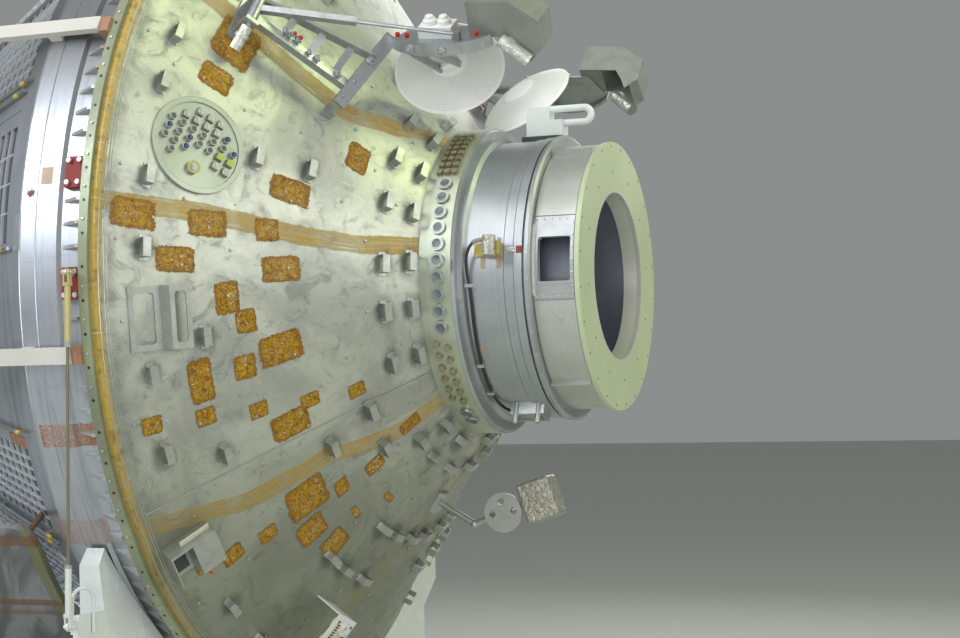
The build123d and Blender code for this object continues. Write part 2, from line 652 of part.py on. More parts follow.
def folded_frame():
    """A sheet frame with two windows, its right part folded up off the cone."""
    length, height = FRAME_SIZE
    half = length / 2.0
    sheet = FRAME_SHEET
    outline = Polyline((-half, 0, 0), (16.0, 0, 0), (40.0, 0, FRAME_RISE), (half, 0, FRAME_RISE),
                       (half, 0, FRAME_RISE + sheet), (36.0, 0, FRAME_RISE + sheet), (12.0, 0, sheet),
                       (-half, 0, sheet), close=True)
    frame = extrude(make_face(outline), height / 2.0, both=True)
    legs = [Pos(half - 10.0, side * (height / 2.0 - 12.0), 0) * standing(18.0, 18.0, FRAME_RISE + 1.0)
            for side in (1, -1)]
    left = Pos(-62.0, 0, -20.0) * extrude(RectangleRounded(*FRAME_WINDOW, FRAME_CORNER), 40.0)
    right = Pos(84.0, 0, FRAME_RISE - 20.0) * extrude(
        RectangleRounded(0.55 * FRAME_WINDOW[0], FRAME_WINDOW[1], FRAME_CORNER), 40.0)
    lift = SEAT
    return on_cone(FRAME_SEAT_RADIUS, FRAME_CLOCK, lift) * (joined([frame] + legs) - left - right)


def open_housing():
    """An open-fronted box with a middle wall."""
    length, width, height = HOUSING_SIZE
    wall = HOUSING_WALL
    body = standing(length, width, height)
    body -= Pos(-length / 4.0, -wall, wall) * standing(length / 2.0 - 1.5 * wall, width - wall, height)
    body -= Pos(length / 4.0, -wall, wall) * standing(length / 2.0 - 1.5 * wall, width - wall, height - 2 * wall)
    return on_cone(HOUSING_SEAT_RADIUS, HOUSING_CLOCK, SEAT) * body


def socket_tray():
    """A raised plate that carries three pipe sockets, on two side legs."""
    length, width, sheet = TRAY_SIZE
    top = Pos(0, 0, TRAY_LEG) * standing(length, width, sheet)
    legs = [Pos(side * (length / 2.0 - sheet / 2.0), 0, 0) * standing(sheet, width, TRAY_LEG + 1.0)
            for side in (1, -1)]
    pipes = [post(TRAY_PIPE_RADIUS, 2.2 * TRAY_PIPE_RADIUS, (offset, 0), TRAY_LEG - 40.0)
             for offset in TRAY_PIPE_OFFSETS]
    bores = [post(0.7 * TRAY_PIPE_RADIUS, 3.0 * TRAY_PIPE_RADIUS, (offset, 0), TRAY_LEG - 20.0)
             for offset in TRAY_PIPE_OFFSETS]
    whole = joined([top] + legs + pipes)
    return on_cone(TRAY_SEAT_RADIUS, TRAY_CLOCK, SEAT) * whole.cut(*bores)


def collar():
    """The short straight ring on top of the cone."""
    return ring(CONE_TOP_X, COLLAR_END, CONE_TOP_RADIUS - COLLAR_WALL, CONE_TOP_RADIUS)


def collar_sockets():
    """Large round sockets round the collar."""
    seat = CONE_TOP_RADIUS + SEAT

    def one_side():
        for clock in COLLAR_SOCKET_CLOCKS:
            yield on_hull(COLLAR_SOCKET_X, seat, clock) * post(COLLAR_SOCKET_RADIUS, COLLAR_SOCKET_HEIGHT)
        for clock in COLLAR_LOW_CLOCKS:
            yield on_hull(COLLAR_SOCKET_X, seat, clock) * post(COLLAR_LOW_RADIUS, COLLAR_SOCKET_HEIGHT)
    return both_sides(one_side)


def collar_plugs():
    """Small round sockets below, and square ones above, in rows."""
    seat = CONE_TOP_RADIUS + SEAT

    def one_side():
        for row, x in enumerate(COLLAR_SMALL_ROWS):
            for clock in COLLAR_SMALL_CLOCKS:
                yield on_hull(x, seat, clock + 1.6 * row) * post(COLLAR_SMALL_RADIUS, COLLAR_TILE_HEIGHT)
        for x in COLLAR_TILE_ROWS:
            for clock in COLLAR_TILE_CLOCKS:
                yield on_hull(x, seat, clock) * standing(COLLAR_TILE, COLLAR_TILE, COLLAR_TILE_HEIGHT)
    return both_sides(one_side)


def tunnel():
    """The tunnel's tube, stepped at its foot and at its front."""
    foot = COLLAR_END + TUNNEL_FOOT_LENGTH
    step = foot + TUNNEL_STEP_LENGTH
    return turned([(COLLAR_END, TUNNEL_BORE), (COLLAR_END, TUNNEL_FOOT_RADIUS), (foot, TUNNEL_FOOT_RADIUS - 8.0),
                   (foot, TUNNEL_STEP_RADIUS), (step - 12.0, TUNNEL_STEP_RADIUS), (step, TUNNEL_RADIUS),
                   (TUNNEL_END - 92.0, TUNNEL_RADIUS), (TUNNEL_END - 86.0, TUNNEL_RADIUS + 6.0),
                   (TUNNEL_END - 44.0, TUNNEL_RADIUS + 6.0), (TUNNEL_END - 38.0, TUNNEL_RADIUS + 12.0),
                   (TUNNEL_END, TUNNEL_RADIUS + 12.0), (TUNNEL_END, TUNNEL_BORE)])


def tunnel_room(clearance):
    """The tunnel's outside grown by a clearance, to cut the seats of what stands on it."""
    step = COLLAR_END + TUNNEL_FOOT_LENGTH + TUNNEL_STEP_LENGTH
    skin = TUNNEL_RADIUS + clearance
    return turned([(COLLAR_END, 400.0), (COLLAR_END, TUNNEL_STEP_RADIUS + clearance),
                   (step - 12.0, TUNNEL_STEP_RADIUS + clearance), (step, skin), (TUNNEL_END - 92.0 - clearance, skin),
                   (TUNNEL_END - 86.0 - clearance, skin + 6.0), (TUNNEL_END - 44.0 - clearance, skin + 6.0),
                   (TUNNEL_END - 38.0 - clearance, skin + 12.0), (TUNNEL_END, skin + 12.0), (TUNNEL_END, 400.0)])


def joint_flange():
    """The grooved flange between tunnel and end collar."""
    groove_end = TUNNEL_END + GROOVE_LENGTH
    return turned([(TUNNEL_END, END_COLLAR_BORE), (TUNNEL_END, GROOVE_RADIUS), (groove_end, GROOVE_RADIUS),
                   (groove_end, JOINT_FLANGE_RADIUS - 4.0), (groove_end + 4.0, JOINT_FLANGE_RADIUS),
                   (JOINT_FLANGE_END - 8.0, JOINT_FLANGE_RADIUS), (JOINT_FLANGE_END, JOINT_FLANGE_RADIUS - 14.0),
                   (JOINT_FLANGE_END, END_COLLAR_BORE)])


def window_cut(radius):
    """The block that cuts the round-cornered window through a wall of this radius."""
    outline = RectangleRounded(WINDOW_SIZE[0], WINDOW_SIZE[1], WINDOW_CORNER)
    return on_hull(WINDOW_X, radius - 120.0, WINDOW_CLOCK) * extrude(outline, 240.0)


def end_collar():
    """The end collar's shell with its window."""
    return ring(JOINT_FLANGE_END, END_COLLAR_END, END_COLLAR_BORE, END_COLLAR_RADIUS) - window_cut(END_COLLAR_RADIUS)


def window_panel():
    """The riveted panel round the window."""
    first, last = WINDOW_PANEL_CLOCKS
    plate = ring_sector(JOINT_FLANGE_END + SHROUD_MARGIN, END_COLLAR_END - SHROUD_MARGIN,
                        END_COLLAR_RADIUS + SEAT, END_PANEL_RADIUS, first, last)
    return plate - window_cut(END_COLLAR_RADIUS)


def shrouds():
    """Curved panels above and below, with an edge turned up."""
    rear, front = JOINT_FLANGE_END + SHROUD_MARGIN, END_COLLAR_END - SHROUD_MARGIN
    inner, outer = END_COLLAR_RADIUS + SEAT, END_PANEL_RADIUS - 2.0

    def one_side():
        low_first, low_last = LOWER_SHROUD_CLOCKS
        low = ring_sector(rear, front, inner, outer, low_first, low_last)
        low_lip = ring_sector(rear, front, inner, outer + SHROUD_LIP, low_last - SHROUD_LIP_TURN, low_last)
        yield joined([low, low_lip])
        up_first, up_last = UPPER_SHROUD_CLOCKS
        up = ring_sector(rear, front, inner, outer, up_first, up_last)
        up_lip = ring_sector(rear, front, inner, outer + SHROUD_LIP, up_first, up_first + SHROUD_LIP_TURN)
        yield joined([up, up_lip])
    own = list(one_side())
    far = [mirror(piece, Plane.XZ) for piece in own]
    middle = ring_sector(rear, front, inner, outer, -WINDOW_PANEL_CLOCKS[1], -WINDOW_PANEL_CLOCKS[0])
    return own + far + [middle]


def port_plate():
    """The flat end plate with the port's lip reaching inwards."""
    back = END_COLLAR_END
    return turned([(NOSE_X, PORT_RADIUS), (NOSE_X, END_PANEL_RADIUS), (back, END_PANEL_RADIUS),
                   (back, PORT_RADIUS + LIP_WALL), (back - LIP_DEPTH, PORT_INNER_RADIUS + LIP_WALL),
                   (back - LIP_DEPTH, PORT_INNER_RADIUS), (back, PORT_RADIUS)])


def bulkhead():
    """The wall across the collar with the hatchway, and the hatch's hinge lugs and pin."""
    front = BULKHEAD_X + BULKHEAD_THICKNESS
    outer = CONE_TOP_RADIUS - COLLAR_WALL - SEAT
    wall = ring(BULKHEAD_X, front, HATCHWAY_RADIUS, outer)
    hinge_x = BULKHEAD_X - HINGE_DROP
    lug_z = HINGE_KNUCKLE_LENGTH / 2.0 + HINGE_LUG_THICKNESS / 2.0 + MOVING_GAP
    lugs = [Pos(hinge_x + HINGE_DROP / 2.0, HINGE_Y, side * lug_z)
            * Box(HINGE_DROP + 2.0 * HINGE_KNUCKLE_RADIUS - 12.0, 2.0 * HINGE_KNUCKLE_RADIUS, HINGE_LUG_THICKNESS)
            for side in (1, -1)]
    half = HINGE_PIN_LENGTH / 2.0
    pin = rod((hinge_x, HINGE_Y, -half), (hinge_x, HINGE_Y, half), HINGE_PIN_RADIUS)
    return joined([wall, *lugs, pin])


def docking_tube():
    """The guide tube between hatchway and port."""
    rear = BULKHEAD_X + BULKHEAD_THICKNESS
    return ring(rear, INNER_TUBE_FRONT, INNER_TUBE_BORE, INNER_TUBE_BORE + INNER_TUBE_WALL)


def tube_web():
    """The web ring that carries the guide tube in the end collar."""
    outer = INNER_TUBE_BORE + INNER_TUBE_WALL
    return ring(TUNNEL_END + 4.0, TUNNEL_END + 20.0, outer + SEAT, END_COLLAR_BORE - SEAT)


def tube_band():
    """The thicker band in the middle of the guide tube."""
    return ring(INNER_BAND_X, INNER_BAND_X + INNER_BAND_WIDTH, INNER_BAND_RADIUS, INNER_TUBE_BORE - SEAT)


def latches():
    """Two rows of small latches inside the docking tube."""
    length, width, height = LATCH_SIZE
    blocks = []
    for x in LATCH_ROWS:
        for n in range(LATCH_COUNT):
            clock = 360.0 * (n + 0.75) / LATCH_COUNT
            blocks.append(on_hull(x, INNER_TUBE_BORE - height - SEAT - 0.2, clock) * standing(length, width, height))
    return blocks


def hatch_door():
    """The round hatch that seats behind the bulkhead, ribbed, with its hinge knuckle."""
    front = BULKHEAD_X - SEAT
    rear = front - HATCH_THICKNESS
    lid = Pos(rear, 0, 0) * Rot(0, 90, 0) * post(HATCH_RADIUS, HATCH_THICKNESS)
    reach = 2.0 * (HATCH_RADIUS - 60.0)
    rib_x = rear - HATCH_RIB_HEIGHT / 2.0 + 1.0
    ribs = [Pos(rib_x, 0, 0) * Box(HATCH_RIB_HEIGHT, reach, HATCH_RIB_THICKNESS),
            Pos(rib_x, 0, 0) * Box(HATCH_RIB_HEIGHT, HATCH_RIB_THICKNESS, reach)]
    hinge_x = BULKHEAD_X - HINGE_DROP
    half = HINGE_KNUCKLE_LENGTH / 2.0
    knuckle = rod((hinge_x, HINGE_Y, -half), (hinge_x, HINGE_Y, half), HINGE_KNUCKLE_RADIUS)
    arm = Pos(hinge_x + 6.0, (HINGE_Y + HATCH_RADIUS - 40.0) / 2.0, 0) * Box(
        26.0, HINGE_Y - HATCH_RADIUS + 40.0, HINGE_KNUCKLE_LENGTH)
    bore = rod((hinge_x, HINGE_Y, -2.0 * half), (hinge_x, HINGE_Y, 2.0 * half), HINGE_PIN_RADIUS + SHAFT_CLEARANCE)
    return joined([lid, *ribs, knuckle, arm]) - bore


def grip():
    """The stepped block with a looped hand rail on top of the tunnel."""
    base_top = GRIP_BASE[2]
    block = Pos(0, 0, base_top) * standing(*GRIP_BLOCK)
    step_x = (GRIP_BLOCK[0] + GRIP_STEP[0]) / 2.0
    step = Pos(step_x - 1.0, 0, base_top) * standing(*GRIP_STEP)
    low, high = GRIP_TUBE_RISES
    near = GRIP_BLOCK[0] / 2.0 - 20.0
    bend = (high - low) / 2.0
    far = step_x + GRIP_STEP[0] / 2.0 + GRIP_REACH - bend
    path = Wire([Line((near, 0, base_top + high), (far, 0, base_top + high)),
                 ThreePointArc((far, 0, base_top + high), (far + bend, 0, base_top + high - bend),
                               (far, 0, base_top + low)),
                 Line((far, 0, base_top + low), (near, 0, base_top + low))])
    tube = sweep(Plane(origin=(near, 0, base_top + high), z_dir=(1, 0, 0)) * Circle(GRIP_TUBE_RADIUS), path)
    seat = Pos(GRIP_X + GRIP_BLOCK[0] / 2.0, 0, TUNNEL_RADIUS)
    return seat * joined([block, step, tube])


def grip_base():
    """The dark mounting blocks below the hand rail, shaped to the tunnel."""
    seat = Pos(GRIP_X + GRIP_BASE[0] / 2.0 - 20.0, 0, TUNNEL_RADIUS - 10.0)
    block = seat * standing(GRIP_BASE[0], GRIP_BASE[1], GRIP_BASE[2] + 10.0)
    return block - tunnel_room(SEAT)


def sensor_wedge():
    """The wedge bracket of the wrapped sensor."""
    length, width, height = WEDGE_SIZE
    outline = Polyline((-length / 2.0, 0, 0), (length / 2.0, 0, 0), (length / 2.0, 0, height),
                       (length / 2.0 - 30.0, 0, height), close=True)
    wedge = extrude(make_face(outline), width / 2.0, both=True)
    foot = standing(length, width, 24.0).moved(Location((0, 0, -12.0)))
    return on_hull(WEDGE_X, TUNNEL_RADIUS, WEDGE_CLOCK) * joined([wedge, foot]) - tunnel_room(SEAT)


def wrapped_sensor():
    """The foil-wrapped sensor head on the wedge, with its cable stub."""
    length, width, height = WEDGE_SIZE
    head = on_hull(WEDGE_X + 34.0, TUNNEL_RADIUS + height + SENSOR_RADIUS + 2.0 * SEAT, WEDGE_CLOCK)
    body = head * Rot(90, 0, 0) * Cylinder(SENSOR_RADIUS, SENSOR_LENGTH)
    x, clock, rise = LEAD_ROUTE[0]
    stub_front = round_point(WEDGE_X + 20.0, clock, TUNNEL_RADIUS + height + SENSOR_RADIUS)
    stub = rod(round_point(x, clock, TUNNEL_RADIUS + rise), stub_front, 1.5 * LEAD_RADIUS)
    return joined([body, stub])


def lead():
    """The clipped lead from the sensor round the tunnel to the junction box."""
    points = [round_point(x, clock, TUNNEL_RADIUS + rise) for x, clock, rise in LEAD_ROUTE]
    runs = [(b - a).length for a, b in zip(points, points[1:])]
    turns = [(b - a).get_angle(c - b) for a, b, c in zip(points, points[1:], points[2:])]
    radii = [0.45 * min(first, second) / math.tan(math.radians(turn / 2.0))
             for first, second, turn in zip(runs, runs[1:], turns)]
    print("lead radii", [round(r) for r in radii])
    path = FilletPolyline(*points, radius=radii)
    start = Plane(origin=points[0], z_dir=points[1] - points[0])
    tube = sweep(start * Circle(LEAD_RADIUS), path)
    print("lead volume ratio", round(tube.volume / (math.pi * LEAD_RADIUS ** 2 * path.length), 4))
    return tube


def lead_clips():
    """Saddle clips that hold the lead to the tunnel."""
    clips = []
    for x, clock in CLIP_STOPS:
        block = on_hull(x, TUNNEL_RADIUS - 10.0, clock) * standing(CLIP_SIZE[0], CLIP_SIZE[1], CLIP_SIZE[2] + 10.0)
        clips.append(block - tunnel_room(SEAT))
    return clips


def junction_box():
    """The small box low on the tunnel, with two posts and an open top tray."""
    length, width, height = JUNCTION_SIZE
    body = standing(length, width, height)
    body -= Pos(0, 0, height - 20.0) * standing(length - 24.0, width - 24.0, 30.0)
    posts = [post(JUNCTION_POST_RADIUS, height + JUNCTION_POST_LENGTH, (side * 0.33 * length, width / 2.0 - 2.0))
             for side in (1, -1)]
    foot = Pos(0, 0, -12.0) * standing(length, width, 14.0)
    return on_hull(JUNCTION_X, TUNNEL_RADIUS, JUNCTION_CLOCK) * joined([body, foot] + posts) - tunnel_room(SEAT)


def rails():
    """Long box rails on each side of the barrel, on a pad at the drum's edge and a leg on the taper."""
    middle = RAIL_FRONT - RAIL_LENGTH / 2.0
    low = BARREL_RADIUS + RAIL_STANDOFF
    foot = hull_radius(RAIL_LEG_X) - 2.0 * RAIL_PAD_LENGTH
    room = taper_room(SEAT)

    def one_side():
        for clock in RAIL_CLOCKS:
            bar = on_hull(middle, low, clock) * standing(RAIL_LENGTH, RAIL_WIDTH, RAIL_DEPTH)
            pad = on_hull(RAIL_PAD_X, BARREL_RADIUS - 20.0, clock) * standing(
                RAIL_PAD_LENGTH, RAIL_WIDTH, RAIL_STANDOFF + 21.0)
            leg = on_hull(RAIL_LEG_X, foot, clock) * standing(RAIL_PAD_LENGTH, RAIL_WIDTH, low - foot + 1.0)
            yield joined([bar, pad, leg]) - room
    return both_sides(one_side)


def rail_blocks():
    """The blocks that join the rails' front ends to the flange."""
    length = FLANGE_REAR - RAIL_FRONT - SEAT
    middle = (FLANGE_REAR + RAIL_FRONT) / 2.0

    def one_side():
        for clock in RAIL_CLOCKS:
            yield on_hull(middle, NECK_RADIUS + SEAT + 0.3, clock) * standing(
                length - SEAT, RAIL_WIDTH + 8.0, BARREL_RADIUS - NECK_RADIUS + RAIL_STANDOFF + RAIL_DEPTH - 12.0)
    return both_sides(one_side)


def tubes():
    """Thin tubes down the taper, held on small blocks."""
    rise = (TUBE_STANDOFF + TUBE_RADIUS) / math.cos(math.radians(TAPER_ANGLE))

    def one_side():
        for clock, front in TUBES:
            bar = rod(round_point(TUBE_REAR, clock, hull_radius(TUBE_REAR) + rise),
                      round_point(front, clock, hull_radius(front) + rise), TUBE_RADIUS)
            blocks = [on_taper(x, clock, SEAT) * standing(24.0, 1.4 * TUBE_RADIUS, TUBE_STANDOFF + 6.0)
                      for x in TUBE_CLIP_STATIONS]
            yield joined([bar] + blocks)
    return both_sides(one_side)


def side_pod():
    """A curved panel that stands off low on the side, round-cornered, with a raised rim, on posts."""
    first, last = POD_CLOCKS
    rear = POD_FRONT - POD_LENGTH
    outer = BARREL_RADIUS + POD_RISE
    inner = outer - POD_SHEET
    body = ring_sector(rear, POD_FRONT, inner, outer, first, last)
    middle = (first + last) / 2.0
    arc = 2.0 * outer * math.sin(math.radians(last - first) / 2.0)
    centre = (rear + POD_FRONT) / 2.0
    trim = extrude(RectangleRounded(POD_LENGTH - 2.0, arc - 2.0, POD_CORNER), 900.0)
    body &= on_hull(centre, outer - 500.0, middle) * trim
    rim_inner = extrude(RectangleRounded(POD_LENGTH - 2.0 * POD_RIM, arc - 2.0 * POD_RIM, POD_CORNER - POD_RIM), 900.0)
    recess = ring_sector(rear - 10.0, POD_FRONT + 10.0, outer - POD_RIM_RISE, outer + 30.0, first - 3.0, last + 3.0)
    recess &= on_hull(centre, outer - 500.0, middle) * rim_inner
    inset = math.degrees(POD_POST_INSET / outer)
    posts = []
    for x in (POD_FRONT - POD_POST_INSET, rear + POD_POST_INSET):
        foot = hull_radius(x) - 2.0 * POD_POST_RADIUS
        for clock in (first + inset, last - inset):
            posts.append(on_hull(x, foot, clock) * post(POD_POST_RADIUS, inner - foot + 2.0))
    return joined([body - recess, *posts]) - taper_room(SEAT)


def tie_lugs():
    """Red tie-down lugs with four bolts each, behind the flange; the lower one carries the rod's eye."""
    length, width, height = LUG_SIZE
    middle = FLANGE_REAR - length / 2.0 - SEAT
    seat = NECK_RADIUS + SEAT
    head = Vector(ROD_HEAD[0], -ROD_HEAD[1], ROD_HEAD[2])
    cheek = Vector(FORK_SLOT / 2.0 - FORK_PLAY, 0, 0)
    eye = joined([rod(head - cheek, head + cheek, EYE_RADIUS - 5.0),
                  beam(head, (head.X, -(seat + height - 6.0), head.Z), 2.0 * cheek.X, 30.0, up=(0, 0, 1))])
    eye -= rod(head - 4.0 * cheek, head + 4.0 * cheek, ROD_PIN_RADIUS + SEAT)

    def one_side():
        for clock in LUG_CLOCKS:
            block = standing(length, width, height)
            bolts = [post(LUG_BOLT_RADIUS, height + LUG_BOLT_HEIGHT, (i * length * 0.3, j * width * 0.36))
                     for i in (1, -1) for j in (1, -1)]
            lug = on_hull(middle, seat, clock) * joined([block] + bolts)
            yield joined([lug, eye]) if clock == LUG_CLOCKS[-1] else lug
    return both_sides(one_side)


def fork(at, along, radius):
    """A fork that straddles an eye: two cheeks from the pin towards a shank, and the pin through them."""
    at, along = Vector(*at), Vector(0, along.Y, along.Z).normalized()
    shank = at + along * FORK_LENGTH
    cheeks = []
    for side in (1, -1):
        near = Vector(side * FORK_SLOT / 2.0, 0, 0)
        far = Vector(side * (FORK_SLOT / 2.0 + FORK_CHEEK), 0, 0)
        middle = (near + far) * 0.5
        cheeks.append(rod(at + near, at + far, radius))
        cheeks.append(beam(at + middle, shank + middle, FORK_CHEEK, 2.0 * radius - 2.0, up=(0, 1, 0)))
    crown = beam(shank - along * 4.0, shank + along * 12.0, FORK_SLOT + 2.0 * FORK_CHEEK, 2.0 * radius + 3.0,
                 up=(0, 1, 0))
    reach = Vector(FORK_SLOT / 2.0 + FORK_CHEEK + 9.0, 0, 0)
    return cheeks + [crown, rod(at - reach, at + reach, ROD_PIN_RADIUS - SHAFT_CLEARANCE)], shank


def tie_rod():
    """The tension rod: upper fork and sleeve, rod, lock nut, socket and lower fork."""
    head = Vector(ROD_HEAD[0], -ROD_HEAD[1], ROD_HEAD[2])
    foot = Vector(ROD_FOOT[0], -ROD_FOOT[1], ROD_FOOT[2])
    upper, sleeve_top = fork(head, foot - head, SLEEVE_RADIUS)
    lower, socket_foot = fork(foot, head - foot, SOCKET_BODY_RADIUS)
    down = (socket_foot - sleeve_top).normalized()
    sleeve_end = sleeve_top + down * SLEEVE_LENGTH
    socket_top = socket_foot - down * SOCKET_BODY_LENGTH
    nut_radius, nut_length = LOCK_NUT
    pieces = [rod(sleeve_top + down * 6.0, sleeve_end, SLEEVE_RADIUS),
              rod(sleeve_end - down * 1.0, sleeve_end + down * nut_length, nut_radius),
              rod(sleeve_end, socket_top + down * 5.0, ROD_RADIUS),
              rod(socket_top - down * nut_length * 0.5, socket_top + down * 1.0, nut_radius),
              rod(socket_top, socket_foot - down * 6.0, SOCKET_BODY_RADIUS)]
    return joined(upper + pieces + lower)


def saddle_outline(half, top, step):
    """One saddle's outline in the YZ plane, mirrored about the middle."""
    floor = -AXIS_HEIGHT
    foot = floor + FOOT_PLATE[2]
    outer = SADDLE_HALF_WIDTH
    left = [(-half + 62.0, top + 70.0), (-half, top)]
    if half < outer:
        left += [(-half, step), (-outer, step - 0.5 * (outer - half))]
    left += [(-outer, foot), (-outer + 400.0, foot), (-outer + 580.0, floor + SADDLE_FOOT_HEIGHT)]
    right = [(-y, z) for y, z in reversed(left)]
    return Polyline(*[(0, y, z) for y, z in left + right], close=True)


def shoulder_plate():
    """The lug plate on the front saddle's -Y side, with the eye of the tie rod."""
    inner, outer = SADDLE_HALF_WIDTH - 12.0, SHOULDER_FACE
    low = SHOULDER_TOP - SHOULDER_HEIGHT
    outline = Polyline((0, -inner, SHOULDER_TOP), (0, -outer + 8.0, SHOULDER_TOP), (0, -outer, SHOULDER_TOP - 8.0),
                       (0, -outer, low + 160.0), (0, -inner, low), close=True)
    plate = Pos(SHOULDER_REAR, 0, 0) * extrude(make_face(outline), SHOULDER_SHEET, dir=(1, 0, 0))
    foot = Vector(ROD_FOOT[0], -ROD_FOOT[1], ROD_FOOT[2])
    cheek = Vector(FORK_SLOT / 2.0 - FORK_PLAY, 0, 0)
    eye = joined([rod(foot - cheek, foot + cheek, EYE_RADIUS),
                  beam(foot, (foot.X, -outer + 6.0, foot.Z), 2.0 * cheek.X, 2.0 * EYE_RADIUS, up=(0, 0, 1))])
    return joined([plate, eye]) - rod(foot - 4.0 * cheek, foot + 4.0 * cheek, ROD_PIN_RADIUS + SEAT)


def saddle(station, front):
    """One cradle frame: a deep plate cut to the hull, leaning at its front, on two feet."""
    floor = -AXIS_HEIGHT
    half = SADDLE_HALF_WIDTH if front else REAR_SADDLE_HALF_WIDTH
    top = SADDLE_TOP if front else REAR_SADDLE_TOP
    hull = BARREL_RADIUS if front else REAR_RADIUS
    outline = saddle_outline(half, top, REAR_SADDLE_STEP)
    plate = Pos(station, 0, 0) * extrude(make_face(outline), SADDLE_THICKNESS, dir=(1, 0, 0))
    plate -= Pos(station, 0, 0) * Rot(0, 90, 0) * Cylinder(hull + PAD_THICKNESS + 2.0 * SEAT, 600.0)
    face = station + SADDLE_THICKNESS
    rise = -SADDLE_LEAN_FOOT
    lean = Polyline((face, 0, SADDLE_LEAN_FOOT), (face - rise * SADDLE_LEAN, 0, 0), (face + 60.0, 0, 0),
                    (face + 60.0, 0, SADDLE_LEAN_FOOT), close=True)
    plate -= extrude(make_face(lean), 3000.0, both=True)
    feet = [Pos(station + SADDLE_THICKNESS / 2.0, side * (SADDLE_HALF_WIDTH - FOOT_INSET), floor)
            * standing(*FOOT_PLATE) for side in (1, -1)]
    shoulders = []
    if front:
        own = shoulder_plate()
        shoulders = [own, mirror(own, Plane.XZ)]
    return joined([plate, *feet, *shoulders])


def saddle_pads():
    """Rubber strips between the saddles and the barrel."""
    first, last = PAD_CLOCKS
    strips = []
    for station, radius in zip(SADDLE_STATIONS, (BARREL_RADIUS, REAR_RADIUS)):
        strips.append(ring_sector(station + 12.0, station + 12.0 + PAD_WIDTH, radius + SEAT,
                                  radius + PAD_THICKNESS + SEAT, first, last))
    return strips


def cradle_beams():
    """Two box beams that join the saddles."""
    front, rear = SADDLE_STATIONS
    start = rear + SADDLE_THICKNESS
    width, height = CRADLE_BEAM
    low = -AXIS_HEIGHT + SADDLE_FOOT_HEIGHT
    return [Pos((start + front) / 2.0, side * CRADLE_BEAM_Y, low + height / 2.0) * Box(front - start, width, height)
            for side in (1, -1)]


def lifting_loops():
    """Round-bar lifting loops that straddle the front saddle's shoulder plates."""
    reach = LOOP_RADIUS + SEAT

    def one_side():
        near = Vector(SHOULDER_REAR + SHOULDER_SHEET + reach, -LOOP_LEGS_Y[0], LOOP_SHOULDER)
        far = Vector(SHOULDER_REAR - reach, -LOOP_LEGS_Y[1], LOOP_SHOULDER)
        near_foot, far_foot = Vector(near.X, near.Y, LOOP_FOOT), Vector(far.X, far.Y, LOOP_FOOT)
        top = (near + far) * 0.5 + Vector(0, 0, (far - near).length / 2.0)
        path = Wire([Line(near_foot, near), ThreePointArc(near, top, far), Line(far, far_foot)])
        yield sweep(Plane(origin=near_foot, z_dir=(0, 0, 1)) * Circle(LOOP_RADIUS), path)
    return both_sides(one_side)


def outwards(point):
    """A point of the antenna tables on the -Y side."""
    return (point[0], -point[1], point[2])


def cone_normal(point):
    """The cone's outward normal below a point, and how far the point stands off the cone."""
    radial = math.hypot(point.Y, point.Z)
    lean = math.radians(CONE_ANGLE)
    normal = Vector(math.sin(lean), math.cos(lean) * point.Y / radial, math.cos(lean) * point.Z / radial)
    return normal, (point.X - CONE_BASE_X) * math.sin(lean) + (radial - CONE_BASE_RADIUS) * math.cos(lean)


def boom_axis():
    """The boom's hinge point, its axis round the hull, the cone's normal there and the stand-off."""
    hinge = Vector(*outwards(BOOM_HINGE))
    radial = math.hypot(hinge.Y, hinge.Z)
    normal, gap = cone_normal(hinge)
    return hinge, Vector(0, hinge.Z / radial, -hinge.Y / radial), normal, gap


def deck_plane():
    """The deck's plane: local X along its front chord, local Z leaning out to the side."""
    left, right = Vector(*outwards(DECK_LEFT)), Vector(*outwards(DECK_RIGHT))
    along = (right - left).normalized()
    lean = math.radians(DECK_LEAN)
    upright = Vector(0, -math.sin(lean), math.cos(lean))
    return Plane(origin=(left + right) * 0.5, x_dir=along, z_dir=upright - along * upright.dot(along))


def boom_base():
    """The hinge bracket of a boom on the cone with its pin, and the rest below the arm's foot."""
    hinge, along, normal, gap = boom_axis()
    seat = hinge - normal * (gap - SEAT)
    reach = HINGE_BARREL_LENGTH / 2.0 + MOVING_GAP + 10.0
    ears = [beam(seat + along * side * reach, hinge + along * side * reach + normal * 28.0, 20.0, 64.0, (1, 0, 0))
            for side in (1, -1)]
    half = BOOM_PIN_LENGTH / 2.0
    pin = rod(hinge - along * half, hinge + along * half, BOOM_PIN_RADIUS)
    foot = Vector(*outwards(BOOM_FOOT))
    foot_normal, foot_gap = cone_normal(foot)
    rest = beam(foot - foot_normal * (foot_gap - SEAT), foot - foot_normal * (0.5 * ARM_WIDTH + BOOM_REST_GAP),
                60.0, 40.0, (1, 0, 0))
    strip = beam(seat - along * (reach + 30.0) + normal * 6.0, seat + along * (reach + 30.0) + normal * 6.0,
                 90.0, 12.0, normal)
    return [joined([*ears, pin, strip]), rest]


